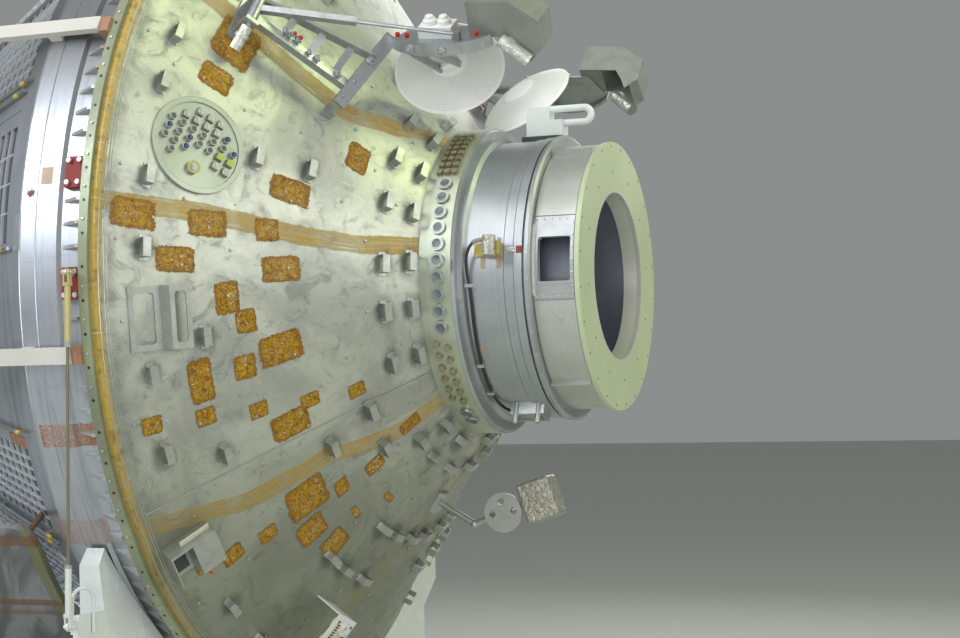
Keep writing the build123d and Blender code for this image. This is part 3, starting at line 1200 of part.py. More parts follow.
def boom():
    """The boom: hinge sleeve, beams, arm, strut and the deck with its bowed front beam."""
    hinge, along, normal, _ = boom_axis()
    elbow, foot = Vector(*outwards(BOOM_ELBOW)), Vector(*outwards(BOOM_FOOT))
    left = Vector(*outwards(DECK_LEFT))
    half = HINGE_BARREL_LENGTH / 2.0
    sleeve = rod(hinge - along * half, hinge + along * half, HINGE_BARREL_RADIUS)
    bore = rod(hinge - along * 2.0 * half, hinge + along * 2.0 * half, BOOM_PIN_RADIUS + SHAFT_CLEARANCE)
    low = hinge - along * (half - BOOM_WIDTH / 2.0)
    high = hinge + along * (half - BACK_BEAM_WIDTH)
    join = foot + (left - foot) * BACK_BEAM_JOIN
    main = beam(low, elbow, BOOM_WIDTH, BOOM_DEPTH, normal)
    back = beam(high, join, BACK_BEAM_WIDTH, BACK_BEAM_DEPTH, normal)
    bars = [beam(low + (elbow - low) * t, high + (join - high) * t, 34.0, 6.0, normal) for t in CROSS_BARS]
    arm = beam(foot, left + (left - foot) * 0.05, ARM_WIDTH, ARM_DEPTH, normal)
    plane = deck_plane()
    deck_seat = plane.location
    length = (Vector(*DECK_RIGHT) - Vector(*DECK_LEFT)).length
    front, back_edge = -DECK_BEAM_DEPTH / 2.0, DECK_BEAM_DEPTH / 2.0
    end = length / 2.0
    outer = ThreePointArc((-end, front), (0, front - DECK_BEAM_BULGE), (end, front))
    inner = ThreePointArc((end, back_edge), (0, back_edge - DECK_BEAM_BULGE), (-end, back_edge))
    bow = make_face(Wire([outer, Line((end, front), (end, back_edge)), inner,
                          Line((-end, back_edge), (-end, front))]))
    front_beam = Pos(0, 0, -DECK_BEAM_HEIGHT / 2.0) * extrude(bow, DECK_BEAM_HEIGHT)
    tray = make_face(Wire([ThreePointArc((-end, 0), (0, -DECK_BEAM_BULGE), (end, 0)),
                           Line((end, 0), (end - 70.0, DECK_DEPTH)), Line((end - 70.0, DECK_DEPTH),
                                                                         (70.0 - end, DECK_DEPTH)),
                           Line((70.0 - end, DECK_DEPTH), (-end, 0))]))
    plate = Pos(0, 0, -DECK_THICKNESS) * extrude(tray, DECK_THICKNESS)
    strut_spot = (end - STRUT_PIN_INSET, STRUT_PIN_Y)
    strut_end = spot(deck_seat, *strut_spot, 34.0)
    split = hinge + (strut_end - hinge) * STRUT_BAR_SHARE
    bar = beam(hinge, split, *STRUT_BAR, normal)
    strut = rod(hinge, strut_end, STRUT_RADIUS)
    strut_foot = Pos(*strut_spot, -1.0) * standing(26.0, 26.0, 48.0)
    deck = deck_seat * joined([plate, front_beam, strut_foot])
    pivot, _, axis = dish_pivot()
    half = DISH_PIN_LENGTH / 2.0
    lugs = []
    for side in (1, -1):
        head = pivot + axis * side * (half - DISH_LUG_THICKNESS)
        at_deck = plane.to_local_coords(head)
        root = spot(deck_seat, at_deck.X, -DECK_BEAM_BULGE * 0.7, -DECK_THICKNESS / 2.0)
        lugs.append(beam(head, root, DISH_LUG_THICKNESS, 40.0, (root - head).cross(axis)))
        cheek = axis * (DISH_LUG_THICKNESS / 2.0)
        lugs.append(rod(head - cheek, head + cheek, DISH_LUG_RADIUS))
    pin = rod(pivot - axis * half, pivot + axis * half, DISH_PIN_RADIUS)
    whole = joined([sleeve, main, back, *bars, arm, deck, bar, strut, *lugs, pin])
    return whole - bore, deck_seat, length


def instruments(deck_seat):
    """The instrument box with its two domes on the deck."""
    x, y = INSTRUMENT_AT
    box = standing(*INSTRUMENT_BOX, at=(x, y))
    profile = Polyline((0, 0, 0), (DOME_RADIUS, 0, 0), (DOME_RADIUS, 0, 0.45 * DOME_HEIGHT),
                       (0.72 * DOME_RADIUS, 0, 0.62 * DOME_HEIGHT), (0.6 * DOME_RADIUS, 0, 0.9 * DOME_HEIGHT),
                       (0.3 * DOME_RADIUS, 0, DOME_HEIGHT), (0, 0, DOME_HEIGHT), close=True)
    dome = revolve(make_face(profile), Axis.Z, 360)
    domes = [Pos(x + side * DOME_SPACING / 2.0, y, INSTRUMENT_BOX[2] - 1.0) * dome for side in (1, -1)]
    return deck_seat * joined([box] + domes)


def hood(deck_seat):
    """The sheet hood over the deck's right end, with the wrapped canister under its edge."""
    outline = Polyline((0, 0, 0), (0, 0, HOOD_HEIGHT), (HOOD_LENGTH * 0.62, 0, HOOD_HEIGHT),
                       (HOOD_LENGTH, 0, HOOD_HEIGHT * 0.45), (HOOD_LENGTH, 0, -60.0), (HOOD_LENGTH - 60.0, 0, -120.0),
                       (HOOD_LENGTH - 90.0, 0, -60.0), (HOOD_LENGTH - 130.0, 0, 0), close=True)
    shell = extrude(make_face(outline), HOOD_DEPTH, dir=(0, 1, 0))
    inner = Polyline((-10.0, 0, -10.0), (-10.0, 0, HOOD_HEIGHT - HOOD_WALL),
                     (HOOD_LENGTH * 0.62 - 3.0, 0, HOOD_HEIGHT - HOOD_WALL),
                     (HOOD_LENGTH - HOOD_WALL, 0, HOOD_HEIGHT * 0.45 - 4.0), (HOOD_LENGTH - HOOD_WALL, 0, -50.0),
                     (HOOD_LENGTH - 60.0, 0, -130.0), (HOOD_LENGTH - 150.0, 0, -130.0), close=True)
    hollow = Pos(0, HOOD_WALL, 0) * extrude(make_face(inner), HOOD_DEPTH - 2.0 * HOOD_WALL, dir=(0, 1, 0))
    strip = Pos(60.0, HOOD_DEPTH / 2.0, 0) * standing(118.0, HOOD_DEPTH, HOOD_WALL)
    canister = Pos(HOOD_LENGTH - 118.0, -CANISTER_RADIUS + 6.0, -52.0) * Rot(0, 130.0, 0) * Cylinder(
        CANISTER_RADIUS, CANISTER_LENGTH)
    seat = deck_seat * Pos(HOOD_START, 30.0, 0)
    return seat * joined([shell - hollow, strip, canister])


def dish_pivot():
    """The dish's pivot on the open side of its bottom, its look direction and its tilt axis."""
    look = Vector(*outwards(DISH_LOOK)).normalized()
    centre = Vector(*outwards(DISH_CENTRE))
    tilt_axis = (Vector(1, 0, 0) - look * look.X).normalized()
    return centre - look * (DISH_BOWL_DEPTH - DISH_OFFSET), look, tilt_axis


def dish():
    """The perforated dish: a shallow bowl with a hub and its pivot sleeve on the open side."""
    pivot, look, axis = dish_pivot()
    vertex = pivot - look * DISH_OFFSET
    focal = DISH_RADIUS ** 2 / (4.0 * DISH_BOWL_DEPTH)

    def bow(r, drop):
        return (r, 0, r ** 2 / (4.0 * focal) - drop)
    edge, mid, low = DISH_RADIUS, 0.62 * DISH_RADIUS, DISH_HUB_RADIUS
    hub_top, floor = bow(low, 0.0)[2] + DISH_HUB_HEIGHT, bow(low, DISH_SHEET)[2]
    profile = Wire([Line((0, 0, hub_top), (low, 0, hub_top)), Line((low, 0, hub_top), bow(low, 0.0)),
                    ThreePointArc(bow(low, 0.0), bow(mid, 0.0), bow(edge, 0.0)),
                    Line(bow(edge, 0.0), bow(edge, DISH_SHEET)),
                    ThreePointArc(bow(edge, DISH_SHEET), bow(mid, DISH_SHEET), bow(low, DISH_SHEET)),
                    Line(bow(low, DISH_SHEET), (0, 0, floor)), Line((0, 0, floor), (0, 0, hub_top))])
    head = Plane(origin=vertex, z_dir=look).location * revolve(make_face(profile), Axis.Z, 360)
    neck = rod(pivot, vertex, 18.0)
    half = DISH_PIN_LENGTH / 2.0 - 1.5 * DISH_LUG_THICKNESS - MOVING_GAP
    sleeve = rod(pivot - axis * half, pivot + axis * half, 20.0)
    bore = rod(pivot - axis * 2.0 * half, pivot + axis * 2.0 * half, DISH_PIN_RADIUS + SHAFT_CLEARANCE)
    return joined([head, neck, sleeve]) - bore


def probe_box_body():
    """The wrapped box beside the disc."""
    x, y, z = PROBE_CENTRE
    length, width, height = PROBE_BOX
    centre = (x + PROBE_DISC_RADIUS + length / 2.0 - 6.0, y + 34.0, z + 60.0)
    body = Pos(*centre) * Rot(0, -18, 0) * Box(length, width, height)
    return fillet(body.edges(), 14.0), centre


def probe_arm():
    """The bent arm that carries the probe below the collar, its pad for the disc and its stub for the box."""
    seat = on_cone(PROBE_SEAT_RADIUS, 180.0, SEAT)
    foot = seat * standing(110.0, 90.0, 22.0)
    start = spot(seat, 0, 0, 12.0)
    x, y, z = PROBE_CENTRE
    knee = (x - 170.0, y + 20.0, z - 60.0)
    box, box_centre = probe_box_body()
    pad = rod((x, y, z), (x, y - PROBE_PAD, z), 1.4 * PROBE_ARM_RADIUS)
    whole = joined([foot, rod(start, knee, PROBE_ARM_RADIUS), rod(knee, (x, y, z), PROBE_ARM_RADIUS),
                    Pos(*knee) * Sphere(1.3 * PROBE_ARM_RADIUS), pad, Pos(x, y, z) * Sphere(1.3 * PROBE_ARM_RADIUS),
                    rod((x, y, z), box_centre, PROBE_ARM_RADIUS)])
    return whole - box


def probe_disc():
    """The round plate with its holes."""
    x, y, z = PROBE_CENTRE
    face = Plane(origin=(x, y - PROBE_PAD, z), z_dir=(0, -1, 0))
    disc = face.location * post(PROBE_DISC_RADIUS, PROBE_DISC_THICKNESS)
    angles = [math.radians(a) for a in (100.0, 190.0, 280.0)]
    holes = [face.location * Pos(PROBE_HOLE_CIRCLE * math.cos(a), PROBE_HOLE_CIRCLE * math.sin(a), 0)
             * Cylinder(PROBE_HOLE_RADIUS, 120.0) for a in angles]
    return disc.cut(*holes)


def build():
    """Makes every node and writes it."""
    os.makedirs("parts", exist_ok=True)
    write("barrel", [barrel()])
    write("barrel_taper", [barrel_taper()])
    write("barrel_rear", [barrel_rear()])
    write("front_flange", [front_flange()])
    write("rear_ring", [rear_ring()])
    write("rear_dish", [rear_dish()])
    write("cone_shell", [cone_shell()])
    write("socket_plate", [socket_plate()])
    write("bridge_brackets", bridge_brackets())
    write("folded_frame", [folded_frame()])
    write("open_housing", [open_housing()])
    write("socket_tray", [socket_tray()])
    write("collar", [collar()])
    write("collar_sockets", collar_sockets())
    write("collar_plugs", collar_plugs())
    write("tunnel", [tunnel()])
    write("joint_flange", [joint_flange()])
    write("end_collar", [end_collar()])
    write("window_panel", [window_panel()])
    write("shrouds", shrouds())
    write("port_plate", [port_plate()])
    write("bulkhead", [bulkhead()])
    write("docking_tube", [docking_tube()])
    write("tube_web", [tube_web()])
    write("tube_band", [tube_band()])
    write("latches", latches())
    write("hatch_door", [hatch_door()])
    write("grip", [grip()])
    write("grip_base", [grip_base()])
    write("sensor_wedge", [sensor_wedge()])
    cable = lead()
    write("wrapped_sensor", [wrapped_sensor() - cable])
    write("lead", [cable])
    write("lead_clips", [clip - cable for clip in lead_clips()])
    write("junction_box", [junction_box() - cable])
    write("rails", rails())
    write("rail_blocks", rail_blocks())
    write("tubes", tubes())
    pod = side_pod()
    write("side_pod_left", [pod])
    write("side_pod_right", [mirror(pod, Plane.XZ)])
    write("tie_lugs", tie_lugs())
    tension = tie_rod()
    write("tie_rod_left", [tension])
    write("tie_rod_right", [mirror(tension, Plane.XZ)])
    write("saddle_front", [saddle(SADDLE_STATIONS[0], True)])
    write("saddle_rear", [saddle(SADDLE_STATIONS[1], False)])
    write("saddle_pads", saddle_pads())
    write("cradle_beams", cradle_beams())
    write("lifting_loops", lifting_loops())
    write("probe_arm", [probe_arm()])
    write("probe_disc", [probe_disc()])
    write("probe_box", [probe_box_body()[0]])
    frame, deck_seat, _ = boom()
    sides = [("boom_base", boom_base()), ("boom", [frame]), ("instruments", [instruments(deck_seat)]),
             ("hood", [hood(deck_seat)]), ("dish", [dish()])]
    for name, pieces in sides:
        write(f"{name}_left", pieces)
        write(f"{name}_right", [mirror(piece, Plane.XZ) for piece in pieces])


build()
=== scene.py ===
"""Looks of a spacecraft's cone-ended pressure compartment with a docking tunnel, on its cradle.

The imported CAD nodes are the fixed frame. Each class below dresses one sub-assembly: it gives the CAD
nodes their finishes and adds the pieces that the solids leave out, such as glue patches, sockets'
faces, ribs, screws and wiring. All lengths are metres. Places on the hull are given as a station
along its axis (0 at the big flange, forward positive), a radius and a clock angle counted in degrees
from the top towards the -Y side. A place function lays a flat point on the hull: it takes the
distances forwards (or up the cone), round the hull and off it.
"""

from __future__ import annotations

import logging
import math
import random
from dataclasses import dataclass
from enum import Enum
from functools import cache
from typing import Callable, Iterable, Sequence

import bpy
from mathutils import Matrix, Vector


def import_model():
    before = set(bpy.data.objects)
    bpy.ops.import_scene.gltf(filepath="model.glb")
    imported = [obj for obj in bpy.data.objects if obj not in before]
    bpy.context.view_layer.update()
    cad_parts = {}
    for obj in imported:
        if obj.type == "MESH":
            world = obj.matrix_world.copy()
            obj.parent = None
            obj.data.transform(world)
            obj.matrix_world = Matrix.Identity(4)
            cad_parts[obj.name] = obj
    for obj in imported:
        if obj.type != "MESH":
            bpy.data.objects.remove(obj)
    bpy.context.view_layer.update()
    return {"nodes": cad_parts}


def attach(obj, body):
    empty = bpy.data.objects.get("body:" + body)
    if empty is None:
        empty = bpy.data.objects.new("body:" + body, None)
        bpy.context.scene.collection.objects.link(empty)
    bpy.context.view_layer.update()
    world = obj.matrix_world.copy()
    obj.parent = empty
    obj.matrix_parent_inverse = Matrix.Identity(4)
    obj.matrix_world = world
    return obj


LOG = logging.getLogger("compartment")
Colour = tuple[float, float, float]
Point = tuple[float, float, float]
Place = Callable[[float, float, float], Vector]
Link = bpy.types.NodeSocket
Piece = bpy.types.Object
SIDES = (1, -1)
AHEAD = Vector((1.0, 0.0, 0.0))


def move(x: float, y: float, z: float) -> Matrix:
    """A shift as a matrix."""
    return Matrix.Translation((x, y, z))


def turned(degrees: float, axis: str) -> Matrix:
    """A turn about one axis as a matrix."""
    return Matrix.Rotation(math.radians(degrees), 4, axis)


# Shader expressions


def operator(operation: str, swapped: bool = False) -> Callable[..., "Num"]:
    """Makes one of Num's operators.

    Args:
        operation: the Math node's operation.
        swapped: whether the other number comes first.

    Returns:
        The method.
    """
    def method(self: "Num", *others: "Num | float") -> "Num":
        """Adds the Math node."""
        return self.shader.math(operation, *((*others, self) if swapped else (self, *others)))
    return method


class Num:
    """A shader number that reads as a Python expression."""

    def __init__(self, shader: "Shader", link: Link) -> None:
        """Keeps the shader that owns the socket, and the socket."""
        self.shader = shader
        self.link = link

    __add__ = __radd__ = operator("ADD")
    __sub__, __rsub__ = operator("SUBTRACT"), operator("SUBTRACT", True)
    __mul__ = __rmul__ = operator("MULTIPLY")
    __truediv__ = operator("DIVIDE")
    __abs__ = operator("ABSOLUTE")
    __pow__ = operator("POWER")
    least, most = operator("MINIMUM"), operator("MAXIMUM")
    fraction = operator("FRACT")

    def __neg__(self) -> "Num":
        """Changes the sign."""
        return self * -1.0

    def step(self, low: float, high: float) -> "Num":
        """A smooth step from 0 at low to 1 at high, or the other way where low is the larger."""
        return Num(self.shader, self.shader.node("MapRange", {0: self, 1: low, 2: high, 3: 0.0, 4: 1.0},
                                                 interpolation_type="SMOOTHSTEP").outputs[0])


class Shader:
    """One material's node tree round a Principled shader."""

    def __init__(self, name: str) -> None:
        """Starts a material.

        Args:
            name: the material's name.
        """
        self.material = bpy.data.materials.new(name)
        self.material.use_nodes = True
        self.tree = self.material.node_tree
        self.body = next(n for n in self.tree.nodes if n.type == "BSDF_PRINCIPLED")
        self._object: Link | None = None

    def plug(self, socket: Link, value: object) -> None:
        """Links a number or an output to a socket, or sets the socket's constant.

        Args:
            socket: the socket to fill.
            value: a number, a vector, a colour, or a link to one.
        """
        value = value.link if isinstance(value, Num) else value
        if isinstance(value, Link):
            self.tree.links.new(value, socket)
        else:
            plain = socket.type == "RGBA" and len(value) == 3
            socket.default_value = (*value, 1.0) if plain else value

    def node(self, kind: str, inputs: dict[object, object], **settings: object) -> bpy.types.Node:
        """Adds a node.

        Args:
            kind: the node's type, without its ShaderNode prefix.
            inputs: values or links by socket name or number.
            settings: attributes, set before the sockets.

        Returns:
            The new node.
        """
        made = self.tree.nodes.new("ShaderNode" + kind)
        for key, value in settings.items():
            setattr(made, key, value)
        for key, value in inputs.items():
            self.plug(made.inputs[key], value)
        return made

    def math(self, operation: str, *values: Num | float) -> Num:
        """Adds a Math node on numbers or sockets."""
        return Num(self, self.node("Math", dict(enumerate(values)), operation=operation).outputs[0])

    def place(self) -> Link:
        """The point on the piece, in Object coordinates."""
        self._object = self._object or self.node("TexCoord", {}).outputs["Object"]
        return self._object

    def hull(self) -> "HullPoint":
        """The point as station, sideways and upwards parts about the hull's axis."""
        moved = self.node("VectorMath", {0: self.place(), 1: HULL.origin}, operation="SUBTRACT").outputs[0]
        return HullPoint(self, moved, *self.parts(moved))

    def parts(self, vector: Link) -> list[Num]:
        """The three numbers of a vector."""
        return [Num(self, out) for out in self.node("SeparateXYZ", {0: vector}).outputs]

    def vector(self, x: Num | float, y: Num | float, z: Num | float) -> Link:
        """Joins three numbers into a vector."""
        return self.node("CombineXYZ", {0: x, 1: y, 2: z}).outputs[0]

    def noise(self, at: Link, scale: float, detail: float = 3.0, rough: float = 0.55,
              twist: float = 0.0) -> Num:
        """Smooth noise from about 0 to 1.

        Args:
            at: the pattern's coordinates.
            scale: features for each metre.
            detail: octaves.
            rough: the finer octaves' share.
            twist: distortion.

        Returns:
            The noise.
        """
        inputs = {"Vector": at, "Scale": scale, "Detail": detail, "Roughness": rough, "Distortion": twist}
        return Num(self, self.node("TexNoise", inputs, noise_dimensions="3D").outputs[0])

    def cells(self, at: Link, scale: float) -> Num:
        """Distance to the nearest of scattered points."""
        return Num(self, self.node("TexVoronoi", {"Vector": at, "Scale": scale}).outputs["Distance"])

    def curve(self, value: Num, points: Iterable[tuple[float, float]]) -> Num:
        """Reads a number off straight runs between points.

        Args:
            value: the number to look up, from 0 to 1.
            points: (position, value) points, both from 0 to 1.

        Returns:
            The number on the runs.
        """
        made = self.node("ValToRGB", {0: value})
        ramp = made.color_ramp
        ordered = sorted(points)
        while len(ramp.elements) < len(ordered):
            ramp.elements.new(0.5)
        for element, (position, height) in zip(ramp.elements, ordered):
            element.position = position
            element.color = (height, height, height, 1.0)
        return Num(self, made.outputs[0])

    def mix(self, share: Num | float, first: object, second: object, blend: str = "MIX") -> Link:
        """Blends two colours.

        Args:
            share: how much of the second colour shows.
            first: a colour or a link.
            second: a colour or a link.
            blend: the Mix node's blend type.

        Returns:
            The blended colour.
        """
        return self.node("Mix", {0: share, 6: first, 7: second}, data_type="RGBA", blend_type=blend).outputs[2]

    def layers(self, colour: object, *coats: tuple[Num | float, object]) -> object:
        """Lays coats over a colour, each as its share and its own colour.

        Args:
            colour: the colour under the coats.
            coats: (share, colour) of each coat, from the lowest up.

        Returns:
            The colour that shows.
        """
        for share, coat in coats:
            colour = self.mix(share, colour, coat)
        return colour

    def tint(self, colour: object, gain: Num) -> Link:
        """Multiplies a colour by a number."""
        grey = self.node("CombineColor", {0: gain, 1: gain, 2: gain}).outputs[0]
        return self.mix(1.0, colour, grey, "MULTIPLY")

    def relief(self, height: Num, distance: float) -> None:
        """Gives the surface a bump of this many metres for each unit of height."""
        made = self.node("Bump", {"Strength": 1.0, "Distance": distance, "Height": height})
        self.feed(Normal=made.outputs[0])

    def patch_edge(self) -> tuple[Num, Num, Num]:
        """A patch's own coordinates from -1 to 1, and the larger of their sizes."""
        u, v = ((part - 0.5) * 2.0 for part in self.parts(self.node("UVMap", {}).outputs[0])[:2])
        return u, v, abs(u).most(abs(v))

    def feed(self, **values: object) -> None:
        """Fills the Principled shader's sockets, whose names have _ for each space."""
        for name, value in values.items():
            self.plug(self.body.inputs[name.replace("_", " ")], value)


@dataclass
class HullPoint:
    """A shaded point about the hull's axis."""

    shader: Shader
    vector: Link
    x: Num
    y: Num
    z: Num

    def radius(self) -> Num:
        """The distance from the hull's axis."""
        return (self.y * self.y + self.z * self.z) ** 0.5

    def clock(self) -> Num:
        """The clock angle in degrees."""
        return self.shader.math("ARCTAN2", -self.y, self.z) * math.degrees(1.0)

    def stretched(self, along: float, across: float) -> Link:
        """Coordinates scaled along the axis and across it."""
        return self.shader.vector(self.x * along, self.y * across, self.z * across)


# Places on the hull


@dataclass(frozen=True)
class HullFrame:
    """Where the hull stands in the row's frame, and its sizes."""

    origin: Point
    cone_base_x: float = 0.078
    cone_base_radius: float = 2.021
    cone_top_x: float = 0.952
    cone_top_radius: float = 0.743
    barrel_radius: float = 2.045
    flange_radius: float = 2.075
    tunnel_radius: float = 0.668
    end_radius: float = 0.642
    taper_front: float = -0.300
    taper_slope: float = 0.6
    rear_radius: float = 1.450

    @property
    def slope(self) -> float:
        """How much radius the cone loses for each metre forward."""
        return (self.cone_base_radius - self.cone_top_radius) / (self.cone_top_x - self.cone_base_x)

    @property
    def lean(self) -> float:
        """The cone's half angle."""
        return math.atan(self.slope)

    def cone_x(self, radius: float) -> float:
        """The station of a radius on the cone."""
        return self.cone_base_x + (self.cone_base_radius - radius) / self.slope

    def hull_radius(self, x: float) -> float:
        """The barrel's radius at a station: straight, then tapering, then straight again."""
        tapered = self.barrel_radius + self.taper_slope * (x - self.taper_front)
        return min(self.barrel_radius, max(self.rear_radius, tapered))

    @staticmethod
    def radial(clock: float) -> Vector:
        """The direction away from the axis at a clock angle."""
        a = math.radians(clock)
        return Vector((0.0, -math.sin(a), math.cos(a)))

    def point(self, x: float, radius: float, clock: float) -> Vector:
        """A point in the row's frame from station, radius and clock angle."""
        return AHEAD * x + self.radial(clock) * radius + Vector(self.origin)

    def seat(self, spot: Vector, clock: float, lean: float, lift: float) -> Matrix:
        """A seat on a wall that leans against the axis.

        Args:
            spot: the point on the wall.
            clock: its clock angle.
            lean: the angle by which the wall's normal tips forwards.
            lift: the seat's height off the wall.

        Returns:
            The seat: local Z along the wall's normal, local X forwards along the wall.
        """
        radial = self.radial(clock)
        out = AHEAD * math.sin(lean) + radial * math.cos(lean)
        along = AHEAD * math.cos(lean) - radial * math.sin(lean)
        made = Matrix((along, out.cross(along), out)).transposed().to_4x4()
        made.translation = spot + out * lift
        return made

    def on_barrel(self, x: float, radius: float, clock: float) -> Matrix:
        """A seat on a cylinder about the hull's axis."""
        return self.seat(self.point(x, radius, clock), clock, 0.0, 0.0)

    def on_cone(self, radius: float, clock: float, lift: float = 0.0) -> Matrix:
        """A seat on the cone."""
        return self.seat(self.point(self.cone_x(radius), radius, clock), clock, self.lean, lift)

    def on_taper(self, x: float, clock: float, lift: float = 0.0) -> Matrix:
        """A seat on the barrel and its taper."""
        lean = -math.atan(self.taper_slope) if x < self.taper_front else 0.0
        return self.seat(self.point(x, self.hull_radius(x), clock), clock, lean, lift)

    def on_axis(self, x: float) -> Matrix:
        """A seat on the hull's axis whose normal runs along it."""
        return Matrix.Translation(AHEAD * x + Vector(self.origin)) @ turned(90, "Y")

    def cone_place(self, radius: float, clock: float, turn: float = 0.0) -> Place:
        """How a flat piece is laid on the cone.

        Args:
            radius: the radius at the piece's middle.
            clock: its clock angle.
            turn: its turn in degrees about the cone's normal.

        Returns:
            The place function.
        """
        c, n = math.cos(math.radians(turn)), math.sin(math.radians(turn))

        def place(a: float, b: float, h: float) -> Vector:
            """Lays one point.

            Args:
                a: its distance up the cone.
                b: its distance round it.
                h: its height off it.

            Returns:
                The point in the row's frame.
            """
            up, round_ = a * c - b * n, a * n + b * c
            r = radius - up * math.sin(self.lean)
            return self.on_cone(r, clock + math.degrees(round_ / r), h).translation
        return place

    def barrel_place(self, x: float, clock: float) -> Place:
        """How a flat piece is laid on the barrel."""
        return lambda a, b, h: self.on_taper(x + a, clock + math.degrees(b / self.hull_radius(x + a)), h).translation

    def drum_place(self, x: float, radius: float, clock: float) -> Place:
        """How a flat piece is laid on a drum."""
        return lambda a, b, h: self.point(x + a, radius + h, clock + math.degrees(b / radius))


HULL = HullFrame(origin=(0.264, 0.0, 2.9))


# Bench work


class Bench:
    """Modelling steps with Blender's own operators."""

    @staticmethod
    def pick(*pieces: Piece) -> None:
        """Selects some pieces alone.

        Args:
            pieces: the pieces, the active one first.
        """
        if bpy.context.object and bpy.context.object.mode != "OBJECT":
            bpy.ops.object.mode_set(mode="OBJECT")
        bpy.ops.object.select_all(action="DESELECT")
        for piece in pieces:
            piece.select_set(True)
        if pieces:
            bpy.context.view_layer.objects.active = pieces[0]

    @staticmethod
    def drum(radius: float, height: float, sides: int = 24, at: Matrix = Matrix(), edge: float = 0.0) -> Piece:
        """A round block standing on its seat.

        Args:
            radius: its radius.
            height: its height.
            sides: corners round it.
            at: its seat.
            edge: the bevel's width.

        Returns:
            The new object.
        """
        Bench.pick()
        bpy.ops.mesh.primitive_cylinder_add(vertices=sides, radius=radius, depth=height,
                                            location=(0, 0, height / 2))
        return Bench.done(at, edge)

    @staticmethod
    def block(size: Point, at: Matrix = Matrix(), edge: float = 0.0, base: float = 0.0) -> Piece:
        """A block standing on its seat.

        Args:
            size: its three sizes.
            at: its seat.
            edge: the bevel's width.
            base: how high over the seat it starts.

        Returns:
            The new object.
        """
        Bench.pick()
        bpy.ops.mesh.primitive_cube_add(size=1.0, location=(0, 0, base + size[2] / 2), scale=size)
        return Bench.done(at, edge)

    @staticmethod
    def hoop(major: float, minor: float, at: Matrix = Matrix(), sides: int = 48, thick: int = 8,
             lift: float = 0.0) -> Piece:
        """A ring of round section round its seat's normal.

        Args:
            major: the radius of its middle line.
            minor: its section's radius.
            at: its seat.
            sides: corners round it.
            thick: corners round its section.
            lift: how high over the seat it lies.

        Returns:
            The new object.
        """
        Bench.pick()
        bpy.ops.mesh.primitive_torus_add(major_segments=sides, minor_segments=thick, major_radius=major,
                                         minor_radius=minor, location=(0, 0, lift))
        return Bench.done(at, 0.0)

    @staticmethod
    def patch(place: Place, length: float, width: float, lift: float = 0.0005, columns: int = 8,
              rows: int = 8) -> Piece:
        """A thin patch laid on a round surface.

        Args:
            place: how a flat point is laid.
            length: its length, up or forwards.
            width: its width, round the hull.
            lift: its height off the surface.
            columns: faces along it.
            rows: faces across it.

        Returns:
            The patch, with its own UV map from 0 to 1.
        """
        Bench.pick()
        bpy.ops.mesh.primitive_grid_add(x_subdivisions=columns, y_subdivisions=rows, size=2.0)
        made = bpy.context.object
        for vertex in made.data.vertices:
            vertex.co = place(vertex.co.x * length / 2, vertex.co.y * width / 2, lift)
        return made

    @staticmethod
    def done(at: Matrix, edge: float) -> Piece:
        """Finishes the primitive that was just added.

        Args:
            at: its seat.
            edge: the width of the bevel on its sharp edges.

        Returns:
            The primitive, bevelled and set on its seat.
        """
        made = bpy.context.object
        bpy.ops.object.transform_apply(location=True, rotation=True, scale=True)
        if edge > 0.0:
            Bench.pick(made)
            modifier = made.modifiers.new("edges", "BEVEL")
            modifier.width = edge
            modifier.segments = 2
            modifier.limit_method = "ANGLE"
            bpy.ops.object.modifier_apply(modifier="edges")
        made.data.transform(at)
        return made

    @staticmethod
    def hollow(made: Piece, inset: float, depth: float) -> None:
        """Insets the top face and sinks it.

        Args:
            made: the piece, which stands upright.
            inset: the width of the rim that stays.
            depth: how far the face sinks.
        """
        Bench.pick(made)
        bpy.ops.object.mode_set(mode="EDIT")
        bpy.ops.mesh.select_all(action="DESELECT")
        bpy.ops.object.mode_set(mode="OBJECT")
        for face in made.data.polygons:
            face.select = face.normal.z > 0.9
        bpy.ops.object.mode_set(mode="EDIT")
        bpy.context.tool_settings.mesh_select_mode = (False, False, True)
        bpy.ops.mesh.inset(thickness=inset)
        bpy.ops.transform.translate(value=(0.0, 0.0, -depth))
        bpy.ops.object.mode_set(mode="OBJECT")

    @staticmethod
    def tube(points: Sequence[Vector], radius: float, sides: int = 8) -> Piece:
        """A round tube on a smooth route through points, as a closed mesh.

        Args:
            points: the route.
            radius: the tube's radius.
            sides: corners round it.

        Returns:
            The new object.
        """
        curve = bpy.data.curves.new("route", "CURVE")
        curve.dimensions = "3D"
        curve.bevel_depth = radius
        curve.bevel_resolution = max(0, sides // 4 - 1)
        curve.use_fill_caps = True
        curve.resolution_u = 6
        spline = curve.splines.new("NURBS")
        spline.points.add(len(points) - 1)
        for spot, point in zip(spline.points, points):
            spot.co = (*point, 1.0)
        spline.order_u = min(4, len(points))
        spline.use_endpoint_u = True
        made = bpy.data.objects.new("route", curve)
        bpy.context.collection.objects.link(made)
        Bench.pick(made)
        bpy.ops.object.convert(target="MESH")
        return bpy.context.object

    @staticmethod
    def copies(model: Piece, seats: Iterable[Matrix]) -> list[Piece]:
        """Sets one copy of a model on each seat.

        Args:
            model: the piece, modelled about its own origin. It is used up.
            seats: where the copies go.

        Returns:
            The copies.
        """
        made = []
        for seat in seats:
            copy = bpy.data.objects.new("copy", model.data.copy())
            copy.data.transform(seat)
            bpy.context.collection.objects.link(copy)
            made.append(copy)
        bpy.data.objects.remove(model)
        return made


# Finishes


